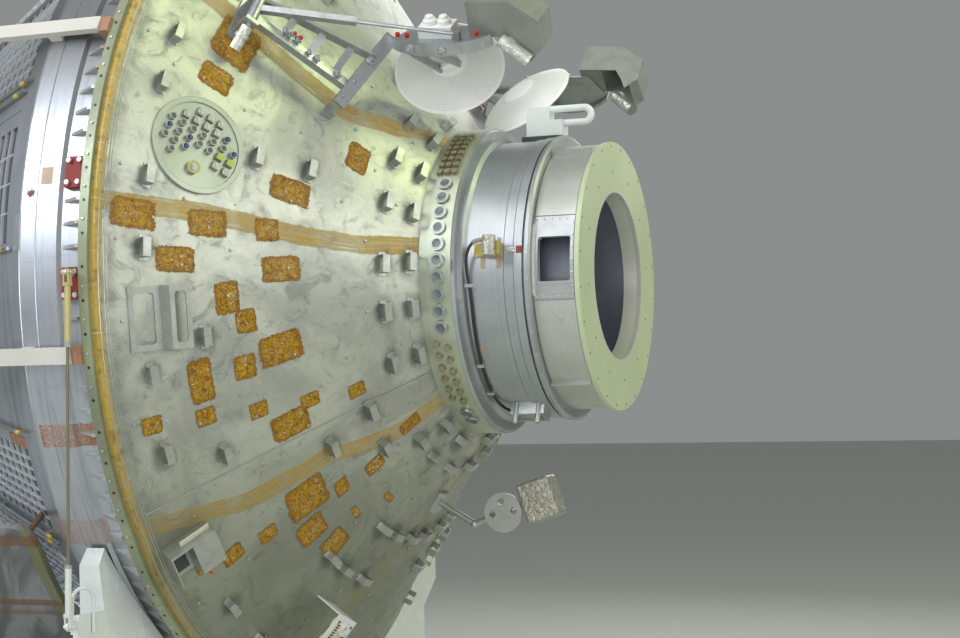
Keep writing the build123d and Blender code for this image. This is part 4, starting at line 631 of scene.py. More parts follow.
@dataclass(frozen=True)
class Finish:
    """A finish whose material is made once."""

    name: str

    @cache
    def material(self) -> bpy.types.Material:
        """Makes the material, or finds it again.

        Returns:
            The material.
        """
        s = Shader(self.name)
        self.draw(s)
        return s.material

    def draw(self, s: Shader) -> None:
        """Draws the finish on its shader."""
        raise NotImplementedError


class Grain(Enum):
    """How a metal's fine marks run, as the noise's stretch along and across the hull."""

    ROUND = (160.0, 2.5)
    ALONG = (2.5, 90.0)
    FINE = (120.0, 120.0)


@dataclass(frozen=True)
class Metal(Finish):
    """Bare or primed metal with clouds, grain and grime."""

    colour: Colour
    shade: Colour
    roughness: float = 0.38
    metallic: float = 0.85
    grain: Grain = Grain.FINE
    cloud_scale: float = 4.0
    cloud: float = 0.6
    grain_depth: float = 0.0003
    grime: float = 0.25

    def draw(self, s: Shader) -> None:
        """Draws clouds, fine lines and dirt.

        Args:
            s: the material's shader.
        """
        p = s.hull()
        if self.grain is Grain.FINE:
            lines = s.noise(p.vector, self.grain.value[0], 3.0, 0.6)
        else:
            lines = s.noise(p.stretched(*self.grain.value), 1.0, 4.0, 0.6)
        clouds = s.noise(p.vector, self.cloud_scale, 5.0, 0.62, 0.6)
        dirt = s.noise(p.vector, self.cloud_scale * 3.1, 6.0, 0.7, 1.2).step(0.58, 0.78)
        colour = s.mix(clouds.step(0.3, 0.75) * self.cloud, self.colour, self.shade)
        colour = s.mix(dirt * self.grime, s.tint(colour, lines * 0.30 + 0.85), tuple(c * 0.35 for c in self.shade))
        s.feed(Base_Color=colour, Metallic=self.metallic,
               Roughness=clouds * 0.22 + lines * 0.16 + (self.roughness - 0.18) + dirt * 0.15)
        s.relief(lines, self.grain_depth)


@dataclass(frozen=True)
class Paint(Finish):
    """Painted metal with soft unevenness, scuffs and small chips."""

    colour: Colour
    chip: Colour = (0.30, 0.29, 0.26)
    roughness: float = 0.35
    chips: float = 0.4
    coat: float = 0.0

    def draw(self, s: Shader) -> None:
        """Draws the uneven paint and its chips.

        Args:
            s: the material's shader.
        """
        at = s.place()
        cloud = s.noise(at, 5.0, 4.0, 0.6)
        fine = s.noise(at, 170.0, 2.0, 0.5)
        worn = s.noise(at, 34.0, 6.0, 0.75, 0.8).step(0.70, 0.76) * self.chips
        s.feed(Base_Color=s.mix(worn, s.tint(self.colour, cloud * 0.24 + 0.88), self.chip), Coat_Weight=self.coat,
               Roughness=cloud * 0.2 + (self.roughness - 0.1) + worn * 0.25)
        s.relief(fine * 0.6 - worn, 0.0002)


@dataclass(frozen=True)
class ConeSkin(Finish):
    """The cone's primed skin with its ochre bands, tape strips and smudges, and painted shade on its lower side."""

    name: str = "cone_skin_primed"
    base: Colour = (0.37, 0.385, 0.35)
    lit: Colour = (0.52, 0.54, 0.47)
    dark: Colour = (0.21, 0.22, 0.205)
    ochre: Colour = (0.42, 0.27, 0.035)
    # Strips: width, then (radius, clock) down the cone
    strips: tuple[tuple[float, tuple[tuple[float, float], ...]], ...] = (
        (0.082, ((2.02, 81.8), (1.886, 81.7), (1.659, 81.3), (1.461, 81.7), (1.257, 82.4), (1.003, 82.5),
                 (0.74, 79.9))),
        (0.088, ((2.02, 122.2), (1.814, 124.7), (1.619, 127.5), (1.262, 129.6), (0.959, 137.4), (0.74, 139.5))),
        (0.080, ((2.02, 163.0), (1.614, 168.6), (1.486, 171.9), (1.313, 175.4), (1.073, 181.4), (0.93, 190.0),
                 (0.74, 196.0))),
        (0.105, ((2.02, 46.5), (1.624, 47.4), (1.380, 48.9), (1.138, 49.7), (0.929, 42.4), (0.74, 28.7))),
    )
    # The radii between which the strips' paths are looked up
    low: float = 0.70
    high: float = 2.06

    def strip(self, s: Shader, radius: Num, clock: Num, ragged: Num, width: float,
              path: Sequence[tuple[float, float]]) -> tuple[Num, Num]:
        """The mask of one strip, and how far the point lies off its middle.

        Args:
            s: the shader.
            radius: the point's radius.
            clock: its clock angle.
            ragged: noise for the strip's edge.
            width: the strip's width.
            path: (radius, clock) points of its middle.

        Returns:
            1 inside the strip and 0 outside, and the distance off its middle.
        """
        span = self.high - self.low
        middle = s.curve((radius - self.low) / span, [((r - self.low) / span, c / 360.0) for r, c in path]) * 360.0
        off = (clock - middle) * (math.pi / 180.0) * radius
        return (abs(off) + (ragged - 0.5) * 0.026).step(width / 2 + 0.003, width / 2 - 0.003), off

    def draw(self, s: Shader) -> None:
        """Draws the skin from its clouds up to its dots.

        Args:
            s: the material's shader.
        """
        p = s.hull()
        radius, clock = p.radius(), p.clock()
        clock_full = clock + (-clock).step(139.9, 140.1) * 360.0
        clouds = s.noise(p.vector, 1.6, 5.0, 0.62, 1.2)
        mid = s.noise(p.vector, 7.0, 6.0, 0.66, 1.4)
        fine = s.noise(p.vector, 90.0, 4.0, 0.65)
        swirl = s.noise(s.vector(p.x * 9.0, p.y * 3.0, p.z * 9.0), 1.0, 7.0, 0.74, 2.6)
        hair = s.noise(s.vector(p.x * 6.0, p.y * 90.0, p.z * 22.0), 1.0, 3.0, 0.6, 0.8)
        ragged = s.noise(p.vector, 26.0, 6.0, 0.72)
        parts = [self.strip(s, radius, clock_full, ragged, width, path) for width, path in self.strips]
        strips, off = parts[0]
        for mask, distance in parts[1:]:
            strips = strips.most(mask)
            outside = s.math("COMPARE", mask, 0.0, 0.02)
            off = outside * off + (1.0 - outside) * distance
        brush = s.noise(s.vector(off * 150.0, radius * 5.0, clock * 0.02), 1.0, 4.0, 0.7, 0.4)
        blotch = s.noise(p.vector, 5.0, 5.0, 0.7, 0.6)
        film = strips * (brush.step(0.34, 0.60) * 0.50 + blotch.step(0.35, 0.60) * 0.34 + 0.16)
        rust = strips * brush.step(0.58, 0.70) * blotch.step(0.46, 0.60)
        worn = s.noise(s.vector(radius * 2.0, clock * 0.9, p.x * 30.0), 1.0, 6.0, 0.72, 0.8)
        lip = p.x + (ragged - 0.5) * 0.008
        band = lip.step(0.0790, 0.0755) * radius.step(1.99, 2.0) * (worn.step(0.26, 0.44) * 0.82 + 0.10)
        foot = radius.step(1.955, 1.995) * mid.step(0.30, 0.6) * 0.55
        runs = s.noise(s.vector(radius * 3.0, clock * 2.4, 0.0), 1.0, 5.0, 0.7, 0.3)
        dots = s.cells(p.vector, 7.0).step(0.045, 0.030) * clouds.step(0.48, 0.6)
        colour = s.layers(
            self.base, (clouds.step(0.38, 0.62), self.lit), (mid.step(0.52, 0.70) * 0.62, self.dark),
            (swirl.step(0.57, 0.68) * 0.48, (0.15, 0.16, 0.15)), (swirl.step(0.40, 0.31) * 0.48, (0.66, 0.69, 0.60)),
            (hair.step(0.70, 0.76) * mid.step(0.42, 0.55) * 0.35, (0.70, 0.73, 0.66)),
            (film, self.ochre), (rust * 0.75, (0.24, 0.10, 0.012)),
            (band, s.mix(worn.step(0.48, 0.66), (0.50, 0.33, 0.035), (0.26, 0.135, 0.010))),
            (foot * (1.0 - band), (0.20, 0.215, 0.19)),
            (radius.step(1.86, 2.0) * runs.step(0.58, 0.70) * 0.5, (0.70, 0.74, 0.68)),
            # Painted shade: downwards from 0.55 m under the axis the skin darkens towards olive
            (p.z.step(-0.55, -1.35) * 0.55, (0.15, 0.16, 0.10)), (dots * 0.8, (0.05, 0.05, 0.045)))
        s.feed(Base_Color=colour, Metallic=0.62 - (film + band + rust).least(1.0) * 0.55,
               Roughness=mid * 0.26 + 0.20 + fine * 0.08 + swirl * 0.10 - rust * 0.1)
        lathe = s.noise(s.vector(radius * 90.0, clock * 0.15, 0.0), 1.0, 3.0, 0.5)
        s.relief(fine * 0.35 + mid * 0.9 + (film + band) * 1.2 + lathe * 0.12, 0.0012)


@dataclass(frozen=True)
class BarrelSkin(Finish):
    """The barrel's bare aluminium, wiped in long grey streaks, with painted shade on its top, its bottom and its
    milled fields.
    """

    name: str = "barrel_skin_bare"
    base: Colour = (0.56, 0.58, 0.63)
    streak: Colour = (0.25, 0.27, 0.32)
    # The painted shade on the floors of the milled fields
    floor: Colour = (0.085, 0.09, 0.10)
    glue: Colour = (0.33, 0.13, 0.035)
    # Glue rests: station from and to, clock angle from and to, strength
    rests: tuple[tuple[float, float, float, float, float], ...] = (
        (-0.282, -0.030, 108.0, 110.8, 1.0), (-0.350, -0.084, 120.5, 124.2, 0.55),
        (-0.540, -0.410, 110.2, 111.8, 1.0))

    def draw(self, s: Shader) -> None:
        """Draws the wiped metal with its painted shade by height and on its milled floors, and its glue rests.

        Args:
            s: the material's shader.
        """
        p = s.hull()
        along = s.noise(p.stretched(0.8, 12.0), 1.0, 6.0, 0.7, 0.6)
        round_ = s.noise(p.stretched(22.0, 0.9), 1.0, 6.0, 0.72, 1.1)
        clouds = s.noise(p.vector, 2.4, 5.0, 0.6, 0.7)
        fine = s.noise(p.stretched(40.0, 220.0), 1.0, 2.0, 0.6)
        # Painted shade by height: downwards from 0.35 m over the axis the skin turns a darker blue-grey and its
        # streaks grow stronger; upwards from there it turns dark grey
        low, high = p.z.step(0.35, -0.9), p.z.step(0.35, 1.15)
        colour = s.layers(
            self.base, (round_.step(0.48, 0.68) * (low * 0.55 + 0.30), self.streak),
            (along.step(0.56, 0.78) * 0.35, self.streak), (low * 0.35, (0.34, 0.37, 0.42)),
            (high * 0.85, (0.13, 0.13, 0.13)))
        # Painted shade: where the skin lies sunk below the taper, in the milled fields, it turns to the dark floor
        # colour
        taper = (p.x - HULL.taper_front) * HULL.taper_slope + HULL.barrel_radius
        depth = taper.least(HULL.barrel_radius) - p.radius()
        sunk = depth.step(0.005, 0.010) * p.x.step(-0.38, -0.40)
        edge = s.noise(p.vector, 60.0, 5.0, 0.7) - 0.5
        spots = s.noise(p.vector, 120.0, 5.0, 0.74).step(0.36, 0.60)
        x, c = p.x + edge * 0.020, p.clock() + edge * 0.6
        rest: Num | None = None
        for rear, front, first, last, strength in self.rests:
            mask = x.step(rear - 0.002, rear + 0.002) * x.step(front + 0.002, front - 0.002)
            mask = mask * c.step(first - 0.06, first + 0.06) * c.step(last + 0.06, last - 0.06) * strength
            rest = rest.most(mask) if rest else mask
        rim = p.x.step(-0.262, -0.270) + p.x.step(-0.15, -0.05)
        colour = s.layers(s.tint(colour, clouds * 0.4 + fine * 0.14 + 0.74), (sunk * 0.9, self.floor),
                          (rest * (spots * 0.60 + 0.22 + rim * 0.25), self.glue))
        s.feed(Base_Color=colour, Metallic=0.85 - rest * 0.75,
               Roughness=round_ * 0.26 + clouds * 0.18 + 0.16 + rest * 0.3 + sunk * 0.15 + high * 0.14)
        s.relief(fine * 0.4 + round_ * 0.35 + rest * spots * 2.0, 0.0007)


@dataclass(frozen=True)
class FlangeSkin(Finish):
    """The big flange's olive rim with rubbed edges, its gussets and the sealant behind it."""

    name: str = "flange_rim_olive"
    olive: Colour = (0.23, 0.25, 0.17)
    green: Colour = (0.33, 0.37, 0.24)
    bare: Colour = (0.60, 0.61, 0.59)
    sealant: Colour = (0.34, 0.19, 0.12)

    def draw(self, s: Shader) -> None:
        """Draws the olive rim in front and the bare gussets behind it.

        Args:
            s: the material's shader.
        """
        p = s.hull()
        fine = s.noise(p.vector, 60.0, 5.0, 0.68)
        clouds = s.noise(p.vector, 2.2, 5.0, 0.6)
        rim = p.x.step(-0.0015, 0.0005)
        front = s.layers(self.olive, (clouds.step(0.35, 0.65), self.green),
                         (fine.step(0.60, 0.74) * 0.4, (0.12, 0.13, 0.09)))
        seal = (p.x + (fine - 0.5) * 0.016).step(-0.020, -0.012)
        gusset = s.mix(seal * clouds.step(0.40, 0.55) * 0.9, s.tint(self.bare, fine * 0.30 + 0.80), self.sealant)
        s.feed(Base_Color=s.mix(rim, gusset, front), Metallic=0.75 - rim * 0.45, Roughness=fine * 0.3 + 0.22)
        s.relief(fine, 0.0005)


@dataclass(frozen=True)
class PortSkin(Finish):
    """The nose plate's pale green paint, with the cutter's rings and hairline wipes."""

    name: str = "port_plate_pale"
    colour: Colour = (0.50, 0.575, 0.36)
    pale: Colour = (0.60, 0.645, 0.46)
    lip: Colour = (0.56, 0.56, 0.50)

    def draw(self, s: Shader) -> None:
        """Draws the wiped paint and the bare lip.

        Args:
            s: the material's shader.
        """
        p = s.hull()
        radius = p.radius()
        wipes = s.noise(s.vector(p.y * 26.0, p.z * 5.0, p.x * 5.0), 1.0, 5.0, 0.65, 0.3)
        cloud = s.noise(p.vector, 3.0, 3.0, 0.5)
        rings = s.noise(s.vector(radius * 200.0, 0.0, 0.0), 1.0, 2.0, 0.5)
        paint = s.tint(s.mix(cloud.step(0.25, 0.75) * 0.7, self.colour, self.pale), wipes * 0.16 + 0.92)
        s.feed(Base_Color=s.mix(radius.step(0.4165, 0.4155), paint, s.tint(self.lip, cloud * 0.4 + 0.8)),
               Metallic=0.15, Roughness=wipes * 0.12 + 0.33)
        s.relief(rings * 0.4 + wipes * 0.6, 0.00025)


@dataclass(frozen=True)
class Glue(Finish):
    """Dried amber glue: glossy, brown at its torn edge, with white rests of paper and holes."""

    name: str = "glue_amber"
    amber: Colour = (0.47, 0.270, 0.008)
    brown: Colour = (0.24, 0.105, 0.006)
    deep: Colour = (0.085, 0.030, 0.003)
    white: Colour = (0.78, 0.79, 0.72)
    torn: float = 0.46

    def draw(self, s: Shader) -> None:
        """Draws the glue's lumps, its torn edge and its bare places.

        Args:
            s: the material's shader.
        """
        at = s.place()
        u, v, _ = s.patch_edge()
        broad = s.noise(at, 11.0, 5.0, 0.65, 1.0)
        lumps = s.noise(at, 48.0, 6.0, 0.70, 1.4)
        torn = s.noise(at, 30.0, 7.0, 0.78, 0.4)
        crumbs = s.noise(at, 120.0, 5.0, 0.72, 0.6)
        streak = s.noise(at, 34.0, 6.0, 0.74, 2.4)
        edge = (u ** 8 + v ** 8) ** 0.125 + (torn - 0.5) * self.torn + (crumbs - 0.5) * 0.30
        gaps = crumbs.step(0.58, 0.61) * edge.step(0.60, 0.85) + lumps.step(0.70, 0.73) * 0.8
        dusty = broad.step(0.60, 0.68) * crumbs.step(0.52, 0.56)
        rim = edge.step(0.66, 0.84)
        bare = streak.step(0.575, 0.605) * broad.step(0.62, 0.46) * edge.step(0.86, 0.68)
        colour = s.layers(self.amber, (lumps.step(0.38, 0.60), self.brown), (rim * 0.75, self.brown),
                          (lumps.step(0.56, 0.66) * broad.step(0.40, 0.55), self.deep), (bare, self.white))
        s.feed(Base_Color=colour, Roughness=lumps * 0.22 + 0.26 + bare * 0.2, Coat_Weight=(1.0 - bare) * 0.10,
               Specular_IOR_Level=0.22,
               Alpha=edge.step(0.90, 0.87) * (1.0 - gaps.least(1.0)) * (1.0 - dusty * 0.9))
        s.relief(lumps * 0.8 + broad * 0.6 - bare * 0.9 + rim * 0.5, 0.0028)


class Falloff(Enum):
    """How a stain fades."""

    ROUND = "from its middle outwards"
    SQUARE = "sharply, at a straight edge"


@dataclass(frozen=True)
class Stain(Finish):
    """A thin stain, smudge or strip of tape that lets the skin under it show through."""

    colour: Colour
    cover: float = 0.6
    falloff: Falloff = Falloff.ROUND
    roughness: float = 0.5
    scale: float = 30.0
    ragged: float = 0.5

    def draw(self, s: Shader) -> None:
        """Draws the stain and how it fades.

        Args:
            s: the material's shader.
        """
        u, v, edge = s.patch_edge()
        cloud = s.noise(s.place(), self.scale, 5.0, 0.68, 1.0)
        ragged = (cloud - 0.5) * self.ragged
        if self.falloff is Falloff.ROUND:
            shown = ((u * u + v * v) ** 0.5 + ragged).step(0.95, 0.25) * (cloud * 0.9 + 0.55).least(1.0)
        else:
            shown = (edge + ragged).step(0.96, 0.92)
        s.feed(Base_Color=s.tint(self.colour, cloud * 0.5 + 0.75), Alpha=shown * self.cover,
               Roughness=self.roughness)
        s.relief(cloud, 0.0003)


@dataclass(frozen=True)
class Foil(Finish):
    """Crumpled thermal wrap tied round a piece."""

    colour: Colour = (0.70, 0.69, 0.63)
    shade: Colour = (0.30, 0.29, 0.25)
    scale: float = 38.0

    def draw(self, s: Shader) -> None:
        """Draws the crumpled folds, with painted shade in their creases.

        Args:
            s: the material's shader.
        """
        at = s.place()
        folds = s.cells(at, self.scale) + s.cells(at, self.scale * 2.3) * 0.5
        soft = s.noise(at, self.scale * 0.6, 4.0, 0.6, 1.6)
        # Painted shade: the creases between the folds darken towards the shade colour
        colour = s.mix(folds.step(0.25, 0.75) * 0.7, self.colour, self.shade)
        s.feed(Base_Color=s.tint(colour, soft * 0.4 + 0.8), Metallic=0.55, Roughness=soft * 0.3 + 0.2)
        s.relief(folds + soft * 1.4, 0.004)


@dataclass(frozen=True)
class DishSkin(Finish):
    """White perforated sheet: rings of holes about the dish's own middle."""

    vertex: Point
    look: Point
    side: Point
    white: Colour = (0.97, 0.975, 0.97)
    hole: Colour = (0.66, 0.67, 0.68)
    pitch: float = 0.0082
    blank: float = 0.085
    rim: float = 0.250
    spokes: int = 180

    def draw(self, s: Shader) -> None:
        """Draws the rings of holes between the blank middle and the rim.

        Args:
            s: the material's shader.
        """
        off = s.node("VectorMath", {0: s.place(), 1: self.vertex}, operation="SUBTRACT").outputs[0]
        other = Vector(self.look).cross(Vector(self.side))
        a, b = (Num(s, s.node("VectorMath", {0: off, 1: tuple(axis)}, operation="DOT_PRODUCT").outputs["Value"])
                for axis in (self.side, other))
        radius = (a * a + b * b) ** 0.5
        fold = ((radius / self.pitch).fraction() - 0.5) * 2.0
        turn = s.math("ARCTAN2", b, a) * (self.spokes / (2.0 * math.pi))
        spoke = (turn.fraction() - 0.5) * 2.0 * (radius * (2.0 * math.pi / self.spokes) / self.pitch)
        shown = (fold * fold + spoke * spoke).step(0.42, 0.22) * radius.step(self.blank, self.blank + 0.004)
        shown = shown * radius.step(self.rim, self.rim - 0.004)
        cloud = s.noise(s.place(), 12.0, 4.0, 0.6)
        s.feed(Base_Color=s.mix(shown, s.tint(self.white, cloud * 0.2 + 0.88), self.hole), Metallic=0.1,
               Roughness=cloud * 0.15 + 0.32)
        s.relief(-shown, 0.0008)


@dataclass(frozen=True)
class PodSkin(Finish):
    """The side panel's grey cover, with swept patches, an olive bevel at its front and brown strips."""

    name: str = "pod_cover_grey"
    grey: Colour = (0.12, 0.125, 0.125)
    pale: Colour = (0.24, 0.25, 0.25)
    olive: Colour = (0.17, 0.17, 0.07)
    brown: Colour = (0.16, 0.085, 0.045)
    # Brown strips: clock angle from and to, strength
    strips: tuple[tuple[float, float, float], ...] = (
        (121.0, 122.5, 1.0), (130.8, 131.8, 1.0), (132.7, 133.5, 0.7))

    def draw(self, s: Shader) -> None:
        """Draws the swept cover and its strips.

        Args:
            s: the material's shader.
        """
        p = s.hull()
        clock = abs(p.clock())
        sweep = s.noise(s.vector(p.x * 7.0 + clock * 0.12, clock * 0.10, 0.0), 1.0, 5.0, 0.62, 0.5)
        fine = s.noise(p.vector, 70.0, 4.0, 0.65)
        ragged = clock + (fine - 0.5) * 0.5
        masks = [ragged.step(first - 0.1, first + 0.1) * ragged.step(last + 0.1, last - 0.1) * strength
                 for first, last, strength in self.strips]
        bevel = p.x.step(-0.447, -0.443) * p.radius().step(2.120, 2.128)
        colour = s.layers(self.grey, (sweep.step(0.40, 0.60), self.pale), (bevel * 0.8, self.olive),
                          (masks[0].most(masks[1]).most(masks[2]) * 0.8, self.brown))
        s.feed(Base_Color=s.tint(colour, fine * 0.3 + 0.85), Metallic=0.2, Roughness=sweep * 0.2 + 0.30)
        s.relief(fine, 0.0004)


@dataclass(frozen=True)
class RodSkin(Finish):
    """The tension rod: pale yellow sleeve above, olive rod, white socket below, bare nuts."""

    name: str = "tension_rod"
    # Runs down the rod: from this height above the hull's axis on, the colour
    runs: tuple[tuple[float, Colour], ...] = (
        (0.10, (0.52, 0.45, 0.20)), (-0.288, (0.34, 0.35, 0.33)), (-0.315, (0.17, 0.16, 0.10)),
        (-1.199, (0.34, 0.35, 0.33)), (-1.216, (0.66, 0.69, 0.66)))

    def draw(self, s: Shader) -> None:
        """Draws the rod's runs of colour.

        Args:
            s: the material's shader.
        """
        p = s.hull()
        cloud = s.noise(p.vector, 14.0, 5.0, 0.65)
        coats = ((p.z.step(height + 0.0005, height - 0.0005), shade) for height, shade in self.runs[1:])
        s.feed(Base_Color=s.tint(s.layers(self.runs[0][1], *coats), cloud * 0.4 + 0.8), Metallic=0.15,
               Roughness=cloud * 0.2 + 0.24)
        s.relief(s.noise(p.vector, 150.0, 3.0, 0.6), 0.0003)


@dataclass(frozen=True)
class LugSkin(Finish):
    """Red lugs whose bolt heads are bare."""

    name: str = "lug_red"
    red: Colour = (0.24, 0.012, 0.010)
    chip: Colour = (0.30, 0.24, 0.21)
    bare: Colour = (0.60, 0.60, 0.60)

    def draw(self, s: Shader) -> None:
        """Draws the worn red paint and the bolt heads.

        Args:
            s: the material's shader.
        """
        p = s.hull()
        worn = s.noise(p.vector, 60.0, 6.0, 0.75, 0.8)
        bolt = p.radius().step(2.0672, 2.0680)
        colour = s.layers(s.tint(self.red, worn * 0.7 + 0.6), (worn.step(0.66, 0.72) * 0.7, self.chip),
                          (bolt, self.bare))
        s.feed(Base_Color=colour, Metallic=bolt * 0.8, Roughness=worn * 0.2 + 0.46)
        s.relief(worn, 0.0004)


# Sub-assemblies


@dataclass
class Studio:
    """Floor, lights and the camera at the photograph's angle."""

    camera_place: Point = (4.174, -8.645, -0.496)
    yaw: float = 0.355
    pitch: float = 0.034
    roll: float = -0.022
    lens: float = 70.35
    floor_half: float = 60.0
    hall: Colour = (0.72, 0.76, 0.74)
    hall_strength: float = 0.36
    # Lights: name, place, aim, size, power, colour
    lamps: tuple[tuple[str, Point, Point, float, float, Colour], ...] = (
        ("overhead", (0.0, -4.5, 10.0), (0.3, -0.8, 3.0), 6.0, 285.0, (1.0, 1.0, 0.96)),
        ("green_wall", (9.5, 2.6, 11.0), (0.8, -0.8, 3.4), 5.0, 400.0, (0.88, 1.0, 0.50)),
        ("windows", (-6.0, -10.0, 8.5), (-0.1, -1.6, 3.2), 4.5, 700.0, (0.86, 0.93, 1.0)),
        ("hall_front", (13.0, -2.0, 6.0), (1.0, -0.5, 3.0), 6.0, 380.0, (1.0, 1.0, 0.95)),
        ("behind", (1.0, 9.0, 7.0), (0.0, 0.5, 3.0), 6.0, 240.0, (1.0, 1.0, 1.0)),
        ("camera_side", (4.0, -12.0, 3.0), (0.6, -0.5, 2.9), 5.0, 390.0, (1.0, 1.0, 1.0)))

    def build(self) -> None:
        """Sets up the studio."""
        self.floor()
        self.lights()
        self.camera()

    def floor(self) -> None:
        """Adds the plain pale floor."""
        made = Bench.block((2 * self.floor_half, 2 * self.floor_half, 0.1), base=-0.1)
        made.name = "studio_floor"
        s = Shader("floor_pale")
        s.feed(Base_Color=(0.55, 0.56, 0.53), Roughness=0.7)
        made.data.materials.append(s.material)

    def lights(self) -> None:
        """Adds the soft lights and the hall's even light."""
        for name, place, aim, size, power, colour in self.lamps:
            data = bpy.data.lights.new(name, "AREA")
            data.energy = power
            data.size = size
            data.color = colour
            lamp = bpy.data.objects.new(name, data)
            lamp.location = place
            lamp.rotation_euler = (Vector(aim) - Vector(place)).to_track_quat("-Z", "Y").to_euler()
            bpy.context.collection.objects.link(lamp)
        world = bpy.data.worlds.new("hall")
        world.use_nodes = True
        back = world.node_tree.nodes["Background"]
        back.inputs[0].default_value = (*self.hall, 1.0)
        back.inputs[1].default_value = self.hall_strength
        bpy.context.scene.world = world
        bpy.context.scene.view_settings.view_transform = "Standard"

    def camera(self) -> None:
        """Sets the camera where the photograph was taken from."""
        forward = Vector((-math.sin(self.yaw) * math.cos(self.pitch), math.cos(self.yaw) * math.cos(self.pitch),
                          math.sin(self.pitch)))
        right = Vector((math.cos(self.yaw), math.sin(self.yaw), 0.0))
        up = right.cross(forward)
        c, n = math.cos(self.roll), math.sin(self.roll)
        right, up = right * c + up * n, up * c - right * n
        pose = Matrix((right, up, -forward)).transposed().to_4x4()
        pose.translation = Vector(self.camera_place) + Vector(HULL.origin)
        data = bpy.data.cameras.new("photograph")
        data.lens = self.lens
        data.sensor_width = 36.0
        data.clip_end = 200.0
        camera = bpy.data.objects.new("photograph", data)
        camera.matrix_world = pose
        bpy.context.collection.objects.link(camera)
        bpy.context.scene.camera = camera


@dataclass
class Assembly:
    """A sub-assembly that dresses CAD nodes and adds pieces."""

    nodes: dict[str, Piece]

    def dress(self, finish: Finish, *names: str) -> Finish:
        """Gives CAD nodes a finish.

        Args:
            finish: the finish.
            names: the nodes' names.

        Returns:
            The finish, for the pieces that share it.
        """
        for name in names:
            for slot in self.nodes[name].material_slots:
                slot.material = finish.material()
        return finish

    def keep(self, pieces: Sequence[Piece], name: str, finish: Finish, body: str = "root") -> None:
        """Joins new pieces into one, finishes it and lets it ride on its body.

        Args:
            pieces: the new pieces.
            name: the joined piece's name.
            finish: its finish.
            body: the CAD body that carries it.
        """
        Bench.pick(*pieces)
        if len(pieces) > 1:
            bpy.ops.object.join()
        piece = bpy.context.object
        piece.name = name
        piece.data.materials.clear()
        piece.data.materials.append(finish.material())
        bpy.ops.object.shade_smooth_by_angle(angle=math.radians(35.0))
        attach(piece, body)
        LOG.info("%s: %d faces on %s", name, len(piece.data.polygons), body)

    def build(self) -> None:
        """Builds the sub-assembly."""
        raise NotImplementedError


